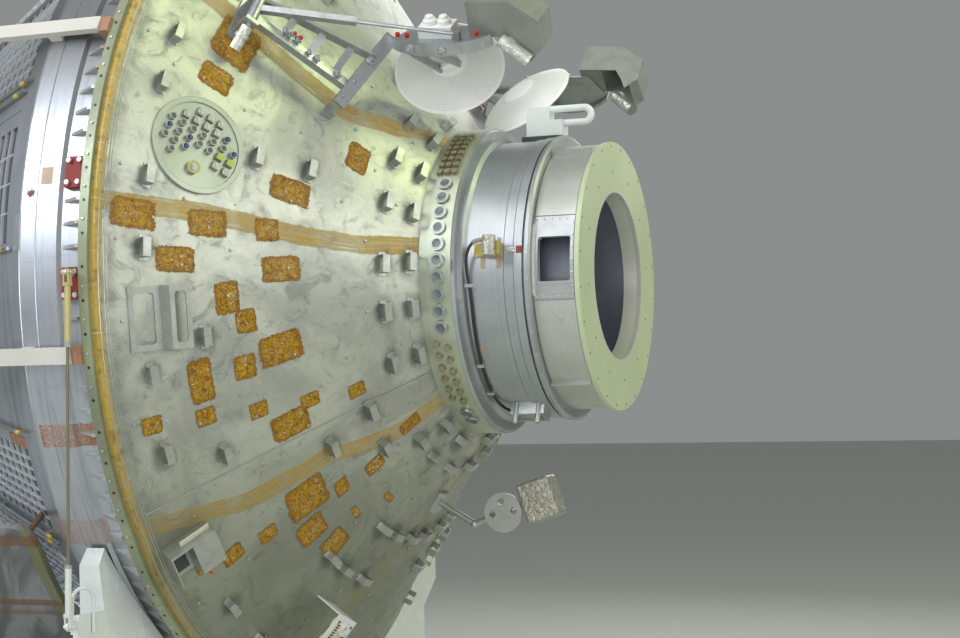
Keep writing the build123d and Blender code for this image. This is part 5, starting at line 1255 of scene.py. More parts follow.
@dataclass
class Cone(Assembly):
    """The cone's skin with its glue patches, weld bead, plate sockets and brackets' screws."""

    # Glue patches: clock angle, radius, length up the cone, width round it
    patches: tuple[tuple[float, float, float, float], ...] = (
        (51.6, 1.652, 0.197, 0.241), (59.6, 1.680, 0.154, 0.118), (74.0, 1.311, 0.193, 0.114),
        (82.9, 1.910, 0.197, 0.126), (82.8, 1.629, 0.179, 0.112), (82.4, 1.392, 0.113, 0.097),
        (88.4, 1.749, 0.175, 0.109), (89.3, 1.333, 0.188, 0.109), (94.1, 1.552, 0.114, 0.136),
        (98.1, 1.484, 0.097, 0.103), (103.9, 1.355, 0.209, 0.131), (105.9, 1.686, 0.113, 0.188),
        (105.6, 1.508, 0.107, 0.104), (109.9, 1.897, 0.092, 0.077), (111.3, 1.692, 0.096, 0.079),
        (113.5, 1.485, 0.091, 0.072), (115.8, 1.276, 0.094, 0.064), (118.6, 1.374, 0.189, 0.120),
        (118.6, 1.077, 0.088, 0.066), (140.8, 1.114, 0.103, 0.079), (138.8, 1.271, 0.074, 0.088),
        (134.8, 1.413, 0.210, 0.179), (135.5, 1.609, 0.092, 0.074), (142.0, 1.456, 0.151, 0.136),
        (149.8, 1.415, 0.141, 0.138), (134.2, 1.763, 0.111, 0.083), (132.3, 1.880, 0.075, 0.071),
        (153.8, 1.141, 0.038, 0.080), (147.9, 1.277, 0.034, 0.085), (138.2, 0.911, 0.115, 0.066),
        (59.9, 1.057, 0.112, 0.142))
    patch_gain: float = 1.14
    patch_lift: float = 0.0012
    # Bridge brackets: radius on the cone, clock angles
    brackets: tuple[tuple[float, tuple[float, ...]], ...] = (
        (0.788, (20.0, 36.0, 52.7, 69.0, 85.7, 101.0, 116.9, 151.4, 167.0)),
        (0.908, (37.1, 53.4, 68.7, 87.0, 100.5, 116.1, 146.8, 158.1, 172.0)),
        (1.049, (24.0, 125.5, 138.0)), (1.246, (68.6, 128.0, 160.1, 166.7, 176.3)),
        (1.463, (24.0, 70.1, 151.6, 157.7, 166.5)), (1.655, (99.5, 118.0)),
        (1.870, (26.0, 56.5, 64.4, 77.7, 87.1, 103.4, 114.0, 141.6, 152.0)))
    # The weld bead: (radius, clock) down the cone
    bead_path: tuple[tuple[float, float], ...] = (
        (2.006, 120.6), (1.80, 120.9), (1.527, 121.3), (1.218, 122.3), (0.95, 124.0), (0.765, 125.6))
    # Rings round the cone's foot: station, radius, half thickness
    foot_rings: tuple[Point, ...] = ((0.0716, 2.037, 0.0030), (0.0836, 2.013, 0.0024), (0.0905, 2.003, 0.0016))
    stud_rows: tuple[float, ...] = (0.85, 0.985, 1.10, 1.30, 1.54, 1.72, 1.845, 1.965)
    stud_pitch: float = 0.33
    # The round plate: radius and clock angle of its middle, its lattice's turn and pitches, its top
    plate_spot: tuple[float, float] = (1.693, 71.4)
    lattice_turn: float = -15.0
    lattice_pitch: tuple[float, float] = (0.052, 0.046)
    plate_top: float = 0.021
    # Sockets on the round plate: row, first and last column, square or not
    socket_rows: tuple[tuple[int, int, int, bool], ...] = (
        (3, -1, 1, True), (2, -2, 1, True), (1, -3, 3, False), (0, -3, 1, False), (0, 2, 3, True),
        (-1, -3, -1, False), (-1, 2, 3, True), (-2, -2, -2, False))
    blue_caps: tuple[tuple[int, int], ...] = ((1, 3), (0, -3), (0, -1), (-1, -1), (2, 2))
    yellow_caps: tuple[tuple[int, int], ...] = ((0, 2), (0, 3))
    # Where the folded frame, the low housing and the socket tray stand: radius, clock angle
    frame_spot: tuple[float, float] = (1.822, 96.2)
    housing_spot: tuple[float, float] = (1.905, 128.6)
    tray_spot: tuple[float, float] = (1.725, 160.0)
    tray_height: float = 0.1575

    def build(self) -> None:
        """Dresses the cone and adds its pieces."""
        self.dress(ConeSkin(), "cone_shell")
        self.dress(Metal("plate_primed", (0.40, 0.44, 0.35), (0.30, 0.33, 0.27), 0.34, 0.6), "socket_plate")
        bracket = self.dress(Metal("bracket_bare", (0.48, 0.50, 0.47), (0.32, 0.34, 0.31), 0.38, 0.8,
                                   cloud_scale=14.0), "bridge_brackets", "folded_frame", "open_housing")
        self.dress(Paint("tray_white", (0.78, 0.80, 0.78)), "socket_tray")
        self.glue()
        self.halos()
        self.bead(bracket)
        self.screws(bracket)
        self.sockets(bracket)
        self.frame_rivets(bracket)
        self.housing_parts()

    def glue(self) -> None:
        """Lays the ragged glue patches on the cone, and every second one again, mirrored, on the far side."""
        rng = random.Random(11)
        far = [(-c + rng.uniform(-6, 6), r, a, b) for c, r, a, b in self.patches[::2]]
        made = [Bench.patch(HULL.cone_place(radius, clock, rng.uniform(-5, 5)), length * self.patch_gain,
                            width * self.patch_gain, self.patch_lift, 14, 12)
                for clock, radius, length, width in (*self.patches, *far)]
        self.keep(made, "glue_patches", Glue())

    def halos(self) -> None:
        """Lays dark smudges round the brackets."""
        rng = random.Random(3)
        made = []
        for radius, clocks in self.brackets:
            for clock in clocks:
                for side in SIDES:
                    place = HULL.cone_place(radius - rng.uniform(-0.012, 0.012), side * clock + rng.uniform(-0.5, 0.5))
                    made.append(Bench.patch(place, rng.uniform(0.11, 0.19), rng.uniform(0.13, 0.23), 0.0006))
        self.keep(made, "bracket_smudges",
                  Stain("smudge_dark", (0.10, 0.11, 0.10), 0.34, roughness=0.6, scale=11.0, ragged=1.3))

    def bead(self, finish: Finish) -> None:
        """Runs the raised weld bead down the cone on both sides, and the seams round its foot.

        Args:
            finish: their finish.
        """
        made = [Bench.tube([HULL.on_cone(r, side * c, 0.001).translation for r, c in self.bead_path], 0.0045)
                for side in SIDES]
        made += [Bench.hoop(radius, thick, HULL.on_axis(x), 160, 6) for x, radius, thick in self.foot_rings]
        self.keep(made, "cone_beads", finish)

    def screws(self, finish: Finish) -> None:
        """Scatters the small screws, studs and capped holes over the cone.

        Args:
            finish: their finish.
        """
        rng = random.Random(5)
        seats = []
        for radius in self.stud_rows:
            count = int(2 * math.pi * radius / self.stud_pitch)
            for n in range(count):
                if rng.random() < 0.75:
                    off = rng.uniform(-0.01, 0.01)
                    seats.append(HULL.on_cone(radius + off, 360.0 * n / count + rng.uniform(-2, 2)))
        self.keep(Bench.copies(Bench.drum(0.0075, 0.006, 10, edge=0.0015), seats), "cone_studs", finish)

    def lattice(self, row: int, column: int, height: float) -> Matrix:
        """The seat over one place of the round plate's lattice."""
        spot = move(column * self.lattice_pitch[0], row * self.lattice_pitch[1], height)
        return HULL.on_cone(*self.plate_spot) @ turned(self.lattice_turn, "Z") @ spot

    def sockets(self, finish: Finish) -> None:
        """Gives the round plate's sockets their rims, pins and caps, and the plate its rings.

        Args:
            finish: the rims' finish.
        """
        rims, cores, faces, blues, yellows = [], [], [], [], []
        for row, first, last, square in self.socket_rows:
            for column in range(first, last + 1):
                seat = self.lattice(row, column, self.plate_top)
                if (row, column) in self.yellow_caps:
                    yellows.append(Bench.block((0.030, 0.030, 0.004), seat, 0.002))
                    continue
                if (row, column) in self.blue_caps:
                    blues.append(Bench.drum(0.0128, 0.006, 20, seat, 0.002))
                elif square:
                    rims += [Bench.drum(0.0026, 0.003, 8, seat @ move(0.0115 * a, 0.0115 * b, 0.0))
                             for a in SIDES for b in SIDES]
                    faces.append(Bench.drum(0.0100, 0.0020, 20, seat, 0.0005))
                else:
                    cores.append(Bench.drum(0.0120, 0.0012, 20, seat))
                rims.append(Bench.hoop(0.0118 if square else 0.0142, 0.0022, seat, 24, 6))
        rims.append(Bench.drum(0.0155, 0.016, 20, self.lattice(2, 2, 0.004), 0.001))
        blues.append(Bench.drum(0.0128, 0.006, 20, self.lattice(2, 2, 0.0205), 0.002))
        plate = HULL.on_cone(*self.plate_spot)
        main = plate @ move(-0.013, -0.112, self.plate_top)
        rims.append(Bench.hoop(0.0170, 0.0020, main, 28, 6))
        yellows.append(Bench.hoop(0.0256, 0.0036, main, 32, 8))
        faces.append(Bench.drum(0.0165, 0.0040, 24, main, 0.001))
        rims += [Bench.hoop(radius, thick, plate, 96, 6, 0.0088) for radius, thick in
                 ((0.2145, 0.0016), (0.1925, 0.0014))]
        for made, name, look in (
            (rims, "plate_socket_rims", finish),
            (cores, "plate_socket_cores",
             Metal("socket_core", (0.13, 0.135, 0.12), (0.05, 0.055, 0.05), 0.45, 0.5, cloud_scale=60.0)),
            (faces, "plate_socket_faces",
             Metal("socket_face_lilac", (0.46, 0.43, 0.45), (0.30, 0.28, 0.30), 0.4, 0.6, cloud_scale=60.0)),
            (blues, "plate_blue_caps", Paint("cap_blue", (0.015, 0.04, 0.14), (0.3, 0.35, 0.4), 0.3)),
            (yellows, "plate_yellow_caps", Paint("cap_yellow_green", (0.42, 0.46, 0.06))),
        ):
            self.keep(made, name, look)

    def frame_rivets(self, finish: Finish) -> None:
        """Sets the rivets along the folded frame's two outer strips.

        Args:
            finish: their finish.
        """
        seat = HULL.on_cone(*self.frame_spot)
        seats = [seat @ move(x, -0.122 + 0.0175 * n, z)
                 for n in range(15) for x, z in ((-0.123, 0.006), (0.123, 0.052))]
        self.keep(Bench.copies(Bench.drum(0.0026, 0.0022, 8), seats), "frame_rivets", finish)

    def housing_parts(self) -> None:
        """Puts the dark boxes, the folded sheet and the red tag on the low housing."""
        seat = HULL.on_cone(*self.housing_spot)
        boxes = [Bench.block(size, seat @ move(*spot), edge) for size, spot, edge in (
            ((0.060, 0.055, 0.040), (0.058, -0.030, 0.012), 0.004),
            ((0.040, 0.030, 0.060), (0.030, 0.035, 0.012), 0.003),
            ((0.070, 0.100, 0.010), (-0.058, -0.010, 0.010), 0.004))]
        self.keep(boxes, "housing_boxes", Paint("housing_dark", (0.05, 0.055, 0.06), (0.3, 0.3, 0.3)))
        tag = Bench.block((0.012, 0.050, 0.003), seat @ move(0.020, -0.094, 0.084) @ turned(28, "Z"), 0.001)
        self.keep([tag], "housing_red_tag", Paint("tag_red", (0.55, 0.02, 0.015), chips=0.1))
        self.tray_parts()
        sheet = Bench.block((0.150, 0.050, 0.003), seat @ move(0.030, 0.094, 0.062) @ turned(18, "X"), 0.001)
        self.keep([sheet], "housing_top_sheet", Paint("sheet_cream", (0.62, 0.62, 0.50), roughness=0.45))

    def tray_parts(self) -> None:
        """Sets the orange caps, brown slots, screws and cream sheet on the low socket tray."""
        seat = HULL.on_cone(*self.tray_spot) @ move(0.0, 0.0, self.tray_height)
        sheet = Bench.block((0.230, 0.150, 0.004), seat @ move(0.010, 0.0, 0.0), 0.002)
        self.keep([sheet], "tray_sheet", Paint("sheet_cream_tray", (0.66, 0.66, 0.54), roughness=0.45))
        face = seat @ move(0.0, 0.0, 0.004)
        caps = [Bench.drum(0.017, 0.010, 24, face @ move(-0.048, y, 0.0), 0.004) for y in (-0.045, 0.045)]
        self.keep(caps, "tray_caps", Paint("cap_orange", (0.50, 0.13, 0.05), roughness=0.5))
        slots = [Bench.block((0.008, 0.030, 0.003), face @ move(0.030 + 0.014 * n, y, 0.0), 0.002)
                 for n in range(6) for y in (-0.050, 0.050)]
        self.keep(slots, "tray_slots", Paint("slot_brown", (0.16, 0.05, 0.02), roughness=0.5))
        screws = [Bench.drum(0.007, 0.003, 12, face @ move(x, y, 0.0))
                  for x in (-0.095, -0.020, 0.115) for y in (-0.066, 0.066)]
        self.keep(screws, "tray_screws", Paint("tray_screw_dark", (0.04, 0.04, 0.035), roughness=0.5))


@dataclass
class Collar(Assembly):
    """The collar with its rows of sockets."""

    station: float = 1.041
    seat: float = 0.755
    # The large sockets' clock angles and tube radius, then the low ones'
    large: tuple[float, ...] = tuple(55.4 + 5.93 * n for n in range(10))
    large_size: float = 0.027
    low: tuple[float, ...] = (148.1, 153.6)
    low_size: float = 0.033

    def build(self) -> None:
        """Dresses the collar and gives the sockets their faces."""
        self.dress(Metal("collar_primed", (0.50, 0.54, 0.42), (0.38, 0.41, 0.32), 0.36, 0.7, Grain.ROUND), "collar")
        case = self.dress(Metal("socket_case", (0.46, 0.48, 0.45), (0.30, 0.32, 0.30), 0.34, cloud_scale=20.0),
                          "collar_sockets")
        self.dress(Metal("plug_bronze", (0.42, 0.38, 0.24), (0.24, 0.22, 0.15), 0.4, 0.8, cloud_scale=30.0),
                   "collar_plugs")
        rings = [(HULL.on_barrel(self.station, self.seat, side * clock), size) for side in SIDES
                 for clocks, size in ((self.large, self.large_size), (self.low, self.low_size)) for clock in clocks]
        self.keep([Bench.hoop(size - 0.004, 0.0035, seat, 28, 6) for seat, size in rings], "socket_rings", case)
        self.keep([self.face(seat, size) for seat, size in rings], "socket_faces",
                  Metal("socket_face", (0.20, 0.22, 0.23), (0.12, 0.13, 0.14), 0.45, 0.6, cloud_scale=30.0))

    @staticmethod
    def face(seat: Matrix, size: float) -> Piece:
        """Models a socket's sunk face.

        Args:
            seat: where it lies.
            size: the socket's radius.

        Returns:
            The face.
        """
        disc = Bench.drum(size - 0.007, 0.0025, 24)
        Bench.hollow(disc, 0.004, 0.0015)
        disc.data.transform(seat)
        return disc


@dataclass
class Tunnel(Assembly):
    """The tunnel, its end collar and nose plate, and what is fixed on them."""

    lug_clock: float = 81.4
    ridge_radius: float = 0.6685
    ridge_stations: tuple[float, ...] = (1.132, 1.150, 1.338, 1.352, 1.372)

    def build(self) -> None:
        """Dresses the tunnel and adds its small pieces."""
        for finish, names in (
            (Metal("tunnel_skin", (0.47, 0.49, 0.51), (0.33, 0.35, 0.36), 0.40, 0.80, Grain.ROUND, 3.0, 0.7),
             ("tunnel", "joint_flange")),
            (Metal("end_panels", (0.56, 0.57, 0.54), (0.44, 0.45, 0.42), 0.42, 0.7, Grain.FINE, 5.0, 0.5),
             ("end_collar", "shrouds")),
            (Metal("window_panel_bare", (0.50, 0.51, 0.52), (0.34, 0.35, 0.36), 0.38, 0.8, Grain.ALONG, 8.0),
             ("window_panel",)),
            (PortSkin(), ("port_plate",)),
            (Metal("inner_primed", (0.42, 0.44, 0.52), (0.24, 0.26, 0.33), 0.36, 0.7, Grain.ROUND), ("docking_tube",)),
            (Paint("inner_paint", (0.40, 0.44, 0.50)), ("bulkhead", "hatch_door")),
            (Paint("latch_black", (0.02, 0.02, 0.025), roughness=0.3), ("latches",)),
            (Paint("grip_white", (0.74, 0.78, 0.77), roughness=0.3), ("grip",)),
            (Paint("grip_base_dark", (0.05, 0.055, 0.06)), ("grip_base",)),
            (Paint("wedge_ochre", (0.52, 0.40, 0.10), roughness=0.3, coat=0.4), ("sensor_wedge",)),
            (Foil("sensor_foil"), ("wrapped_sensor",)),
            (Paint("lead_black", (0.018, 0.018, 0.018), roughness=0.45, chips=0.05), ("lead",)),
        ):
            self.dress(finish, *names)
        small = self.dress(Metal("tunnel_fittings", (0.60, 0.62, 0.60), (0.40, 0.42, 0.42), 0.34, cloud_scale=20.0),
                           "lead_clips", "junction_box")
        self.bolts(small)
        self.marks(small)

    def marks(self, metal: Finish) -> None:
        """Adds the tapes, the lug with its red block, the stain and the sealant beside the window.

        Args:
            metal: the finish of the lug and the ridges.
        """
        tunnel = HULL.tunnel_radius
        # Patches: station, radius, clock angle, length, width, lift, columns, rows
        tapes = [Bench.patch(HULL.drum_place(x, radius, clock), *rest) for x, radius, clock, *rest in (
            (1.236, tunnel, 82.2, 0.024, 0.150, 0.0006, 2, 12), (1.312, tunnel, 82.2, 0.024, 0.150, 0.0006, 2, 12),
            (1.407, tunnel, 78.6, 0.026, 0.030, 0.0010, 2, 4), (1.190, tunnel, 121.0, 0.050, 0.016, 0.0006, 4, 2))]
        self.keep(tapes, "tan_tapes", Stain("tape_tan", (0.50, 0.36, 0.20), 0.75, Falloff.SQUARE, 0.55, 24.0, 0.14))
        stain = Bench.patch(HULL.drum_place(1.113, 0.7385, 87.4), 0.018, 0.090, 0.0006, 2, 12)
        self.keep([stain], "brown_stain", Stain("stain_brown", (0.22, 0.16, 0.13), 0.75, scale=40.0))
        lug = [Bench.block((0.038, 0.020, 0.016), HULL.on_barrel(1.372, tunnel, self.lug_clock), 0.003),
               Bench.drum(0.008, 0.028, 12, HULL.on_barrel(1.364, tunnel, self.lug_clock), 0.002)]
        self.keep(lug, "tunnel_lug", metal)
        red = Bench.block((0.026, 0.034, 0.012), HULL.on_barrel(1.411, tunnel + 0.003, self.lug_clock), 0.002)
        self.keep([red], "red_block", Paint("block_red_brown", (0.22, 0.05, 0.03), roughness=0.6))
        seal = Bench.patch(HULL.drum_place(1.468, HULL.end_radius, 84.6), 0.016, 0.370, 0.0010, 3, 40)
        self.keep([seal], "window_sealant",
                  Stain("sealant_white", (0.72, 0.72, 0.66), 0.95, Falloff.SQUARE, 0.5, 90.0, 1.1))
        rings = [Bench.hoop(self.ridge_radius, 0.0016, HULL.on_axis(x), 128, 6) for x in self.ridge_stations]
        self.keep(rings, "tunnel_ridges", metal)

    def bolts(self, finish: Finish) -> None:
        """Sets the small bolts of the flange, the window's panel and the nose plate.

        Args:
            finish: the finish of those on the flange and the panel.
        """
        end = HULL.end_radius
        seats = [HULL.on_barrel(1.452, 0.686, 10.0 * n + 3.0) for n in range(36)]
        seats += [HULL.on_barrel(1.475 + 0.036 * n, end, clock) for clock in (68.2, 100.2) for n in range(5)]
        seats += [HULL.on_barrel(x, end, 70.0 + 5.2 * n) for x in (1.475, 1.651) for n in range(6)]
        self.keep(Bench.copies(Bench.drum(0.0052, 0.004, 8, edge=0.001), seats), "collar_bolts", finish)
        nose = [Matrix.Translation(HULL.point(1.682, radius, 15.0 * n + 7.0)) @ turned(90, "Y")
                for n in range(24) for radius in ((0.62,) if n % 2 else (0.62, 0.50))]
        self.keep(Bench.copies(Bench.drum(0.0048, 0.0015, 10), nose), "nose_bolts",
                  Paint("bolt_dark", (0.10, 0.11, 0.07)))


@dataclass
class Barrel(Assembly):
    """The barrel with its flange, ribs, rails, tubes and pods."""

    # Milled fields of one side: clock angle from and to, and the ribs' pitch round the hull in degrees
    fields: tuple[Point, ...] = (
        (3.0, 22.0, 2.1), (26.0, 45.0, 2.1), (48.0, 64.6, 2.1), (71.2, 86.2, 3.7), (111.8, 123.4, 1.45),
        (127.4, 150.0, 1.6), (154.0, 177.0, 2.1))
    front: float = -0.412
    rear: float = -1.200
    row_pitch: float = 0.050
    rib_width: float = 0.006
    depth: float = 0.012
    # Thin tubes: clock angle, station of the front end
    tubes: tuple[tuple[float, float], ...] = (
        (65.3, -0.366), (66.6, -0.402), (87.0, -0.370), (109.5, -0.370), (124.6, -0.383), (125.5, -0.390))
    tube_lift: float = 0.017
    # The flange's studs and holes: station, count, pitch in degrees
    stud_station: float = 0.021
    stud_count: int = 95
    stud_pitch: float = 3.8

    def build(self) -> None:
        """Dresses the barrel and adds ribs and bolts."""
        skin = self.dress(BarrelSkin(), "barrel", "barrel_taper", "barrel_rear", "rear_dish")
        self.dress(FlangeSkin(), "front_flange", "rear_ring")
        self.dress(Paint("rail_cream", (0.60, 0.58, 0.53), roughness=0.5), "rails")
        self.dress(Paint("cork_brown", (0.36, 0.20, 0.12), (0.55, 0.50, 0.40), 0.7, 0.9), "rail_blocks")
        self.dress(Metal("tube_steel", (0.50, 0.52, 0.52), (0.32, 0.34, 0.35), 0.3, 0.95, Grain.ALONG, 12.0), "tubes")
        self.dress(PodSkin(), "side_pod_left", "side_pod_right")
        self.ribs()
        self.seams(skin)
        self.studs()
        self.tube_ends()
        self.marks()

    def ribs(self) -> None:
        """Stands the waffle ribs in the barrel's milled fields."""
        made = []
        length = self.front - self.rear
        size = (length * math.hypot(1.0, HULL.taper_slope), self.rib_width, self.depth)
        rows = round(length / self.row_pitch)
        for side in SIDES:
            for first, last, pitch in self.fields:
                a, b = sorted((side * first, side * last))
                columns = max(2, round((b - a) / pitch))
                made += [Bench.block(size, HULL.on_taper((self.front + self.rear) / 2, a + (b - a) * n / columns,
                                                         -self.depth)) for n in range(1, columns)]
                made += [self.hoop_rib(self.rear + length * n / rows, a, b) for n in range(1, rows)]
        # The ribs' bare metal is made much brighter than the skin's, as a painted highlight
        self.keep(made, "waffle_ribs",
                  Metal("rib_bare_painted_highlight", (0.84, 0.86, 0.90), (0.62, 0.64, 0.67), 0.36, 0.70, cloud_scale=6.0))

    def hoop_rib(self, x: float, first: float, last: float) -> Piece:
        """Models one rib round the hull.

        Args:
            x: its station.
            first: the clock angle where it starts.
            last: the clock angle where it ends.

        Returns:
            The rib.
        """
        made = Bench.block((self.rib_width, 2.0, 1.0))
        Bench.pick(made)
        bpy.ops.object.mode_set(mode="EDIT")
        bpy.ops.mesh.select_all(action="SELECT")
        bpy.ops.mesh.subdivide(number_cuts=max(3, round((last - first) / 3.0)))
        bpy.ops.object.mode_set(mode="OBJECT")
        for vertex in made.data.vertices:
            clock = first + (last - first) * (vertex.co.y + 1.0) / 2.0
            vertex.co = HULL.on_taper(x + vertex.co.x, clock, self.depth * (vertex.co.z - 1.0)).translation
        return made

    def seams(self, finish: Finish) -> None:
        """Runs the two seams round the front drum and the bright edge beside the ladder field.

        Args:
            finish: their finish.
        """
        made = [Bench.hoop(HULL.barrel_radius + 0.0002, thick, HULL.on_axis(x), 192, 6)
                for x, thick in ((-0.2235, 0.0022), (HULL.taper_front, 0.0030))]
        made += [Bench.block((0.90, 0.006, 0.004), HULL.on_taper(-0.80, side * 68.9), 0.001) for side in SIDES]
        self.keep(made, "barrel_seams", finish)

    def studs(self) -> None:
        """Sets the studs round the front flange, and dark discs that paint the shade in its bolt holes."""
        radius, spots = HULL.flange_radius, range(self.stud_count)
        seats = [HULL.on_barrel(self.stud_station, radius - 0.001, self.stud_pitch * n + 0.7)
                 for n in spots if n % 5 != 3]
        self.keep(Bench.copies(Bench.drum(0.0062, 0.007, 8, edge=0.0012), seats), "flange_studs",
                  Metal("stud_silver", (0.66, 0.68, 0.68), (0.45, 0.47, 0.47), 0.3, 0.9, cloud_scale=40.0))
        # Painted shade: flat dark discs stand for the shade inside the bolt holes
        seats = [HULL.on_barrel(self.stud_station, radius, self.stud_pitch * n + 2.3) for n in spots]
        self.keep(Bench.copies(Bench.drum(0.0066, 0.0012, 10), seats), "flange_holes",
                  Paint("hole_painted_shade", (0.02, 0.02, 0.018), chips=0.0))

    def tube_ends(self) -> None:
        """Wraps yellow tape near the tubes' ends and paints the shade in their bores with dark discs."""
        for model, back, name, finish in (
            (Bench.drum(0.0100, 0.034, 16), 0.066, "tube_tapes",
             Paint("tape_yellow", (0.62, 0.42, 0.05), roughness=0.45, chips=0.2)),
            # Painted shade: a flat dark disc at each tube's end stands for the shade in its bore
            (Bench.drum(0.0066, 0.0012, 12), 0.0, "tube_bores", Paint("bore_painted_shade", (0.012, 0.012, 0.012), chips=0.0)),
        ):
            seats = [HULL.on_taper(front - back, side * clock, self.tube_lift) @ turned(90, "Y")
                     for side in SIDES for clock, front in self.tubes]
            self.keep(Bench.copies(model, seats), name, finish)

    def marks(self) -> None:
        """Adds the small plate with two holes, the tan sticker and the red-brown blot."""
        plates = [Bench.block((0.060, 0.155, 0.007), HULL.on_taper(-0.322, side * 85.2, -0.004), 0.002)
                  for side in SIDES]
        stickers = [Bench.patch(HULL.barrel_place(-0.183, side * 78.7), 0.060, 0.080, 0.0008, 4, 4) for side in SIDES]
        blots = [Bench.patch(HULL.barrel_place(-0.255, side * 80.7), 0.060, 0.060, 0.0008, 6, 6) for side in SIDES]
        self.keep(plates, "two_hole_plates",
                  Metal("small_plate", (0.62, 0.65, 0.70), (0.45, 0.47, 0.50), 0.34, 0.8, cloud_scale=12.0))
        self.keep(stickers, "tan_stickers",
                  Stain("sticker_tan", (0.52, 0.40, 0.28), 0.9, Falloff.SQUARE, 0.6, 20.0, 0.08))
        self.keep(blots, "red_blots", Stain("blot_red_brown", (0.16, 0.03, 0.02), 1.0, scale=70.0, ragged=1.6))


@dataclass
class TieDowns(Assembly):
    """The red lugs, tension rods and the cradle."""

    def build(self) -> None:
        """Dresses the tie-downs and the cradle."""
        self.dress(LugSkin(), "tie_lugs")
        self.dress(RodSkin(), "tie_rod_left", "tie_rod_right")
        self.dress(Paint("cradle_white", (0.66, 0.69, 0.68), roughness=0.26, chips=0.10, coat=0.35),
                   "saddle_front", "saddle_rear", "cradle_beams", "lifting_loops")
        self.dress(Paint("rubber_black", (0.02, 0.02, 0.02), roughness=0.7, chips=0.05), "saddle_pads")


@dataclass(frozen=True)
class Wing:
    """One side's antenna, whose places are given on the -Y side and mirrored for the other."""

    side: str
    sign: int

    def mirrored(self, spot: Vector) -> Vector:
        """A place or direction on this side."""
        return Vector((spot.x, self.sign * spot.y, spot.z))

    def seat(self, spot: Vector, out: Vector) -> Matrix:
        """A seat at a place, with its normal along a direction."""
        turn = self.mirrored(out).normalized().to_track_quat("Z", "X").to_matrix().to_4x4()
        return Matrix.Translation(self.mirrored(spot) + Vector(HULL.origin)) @ turn


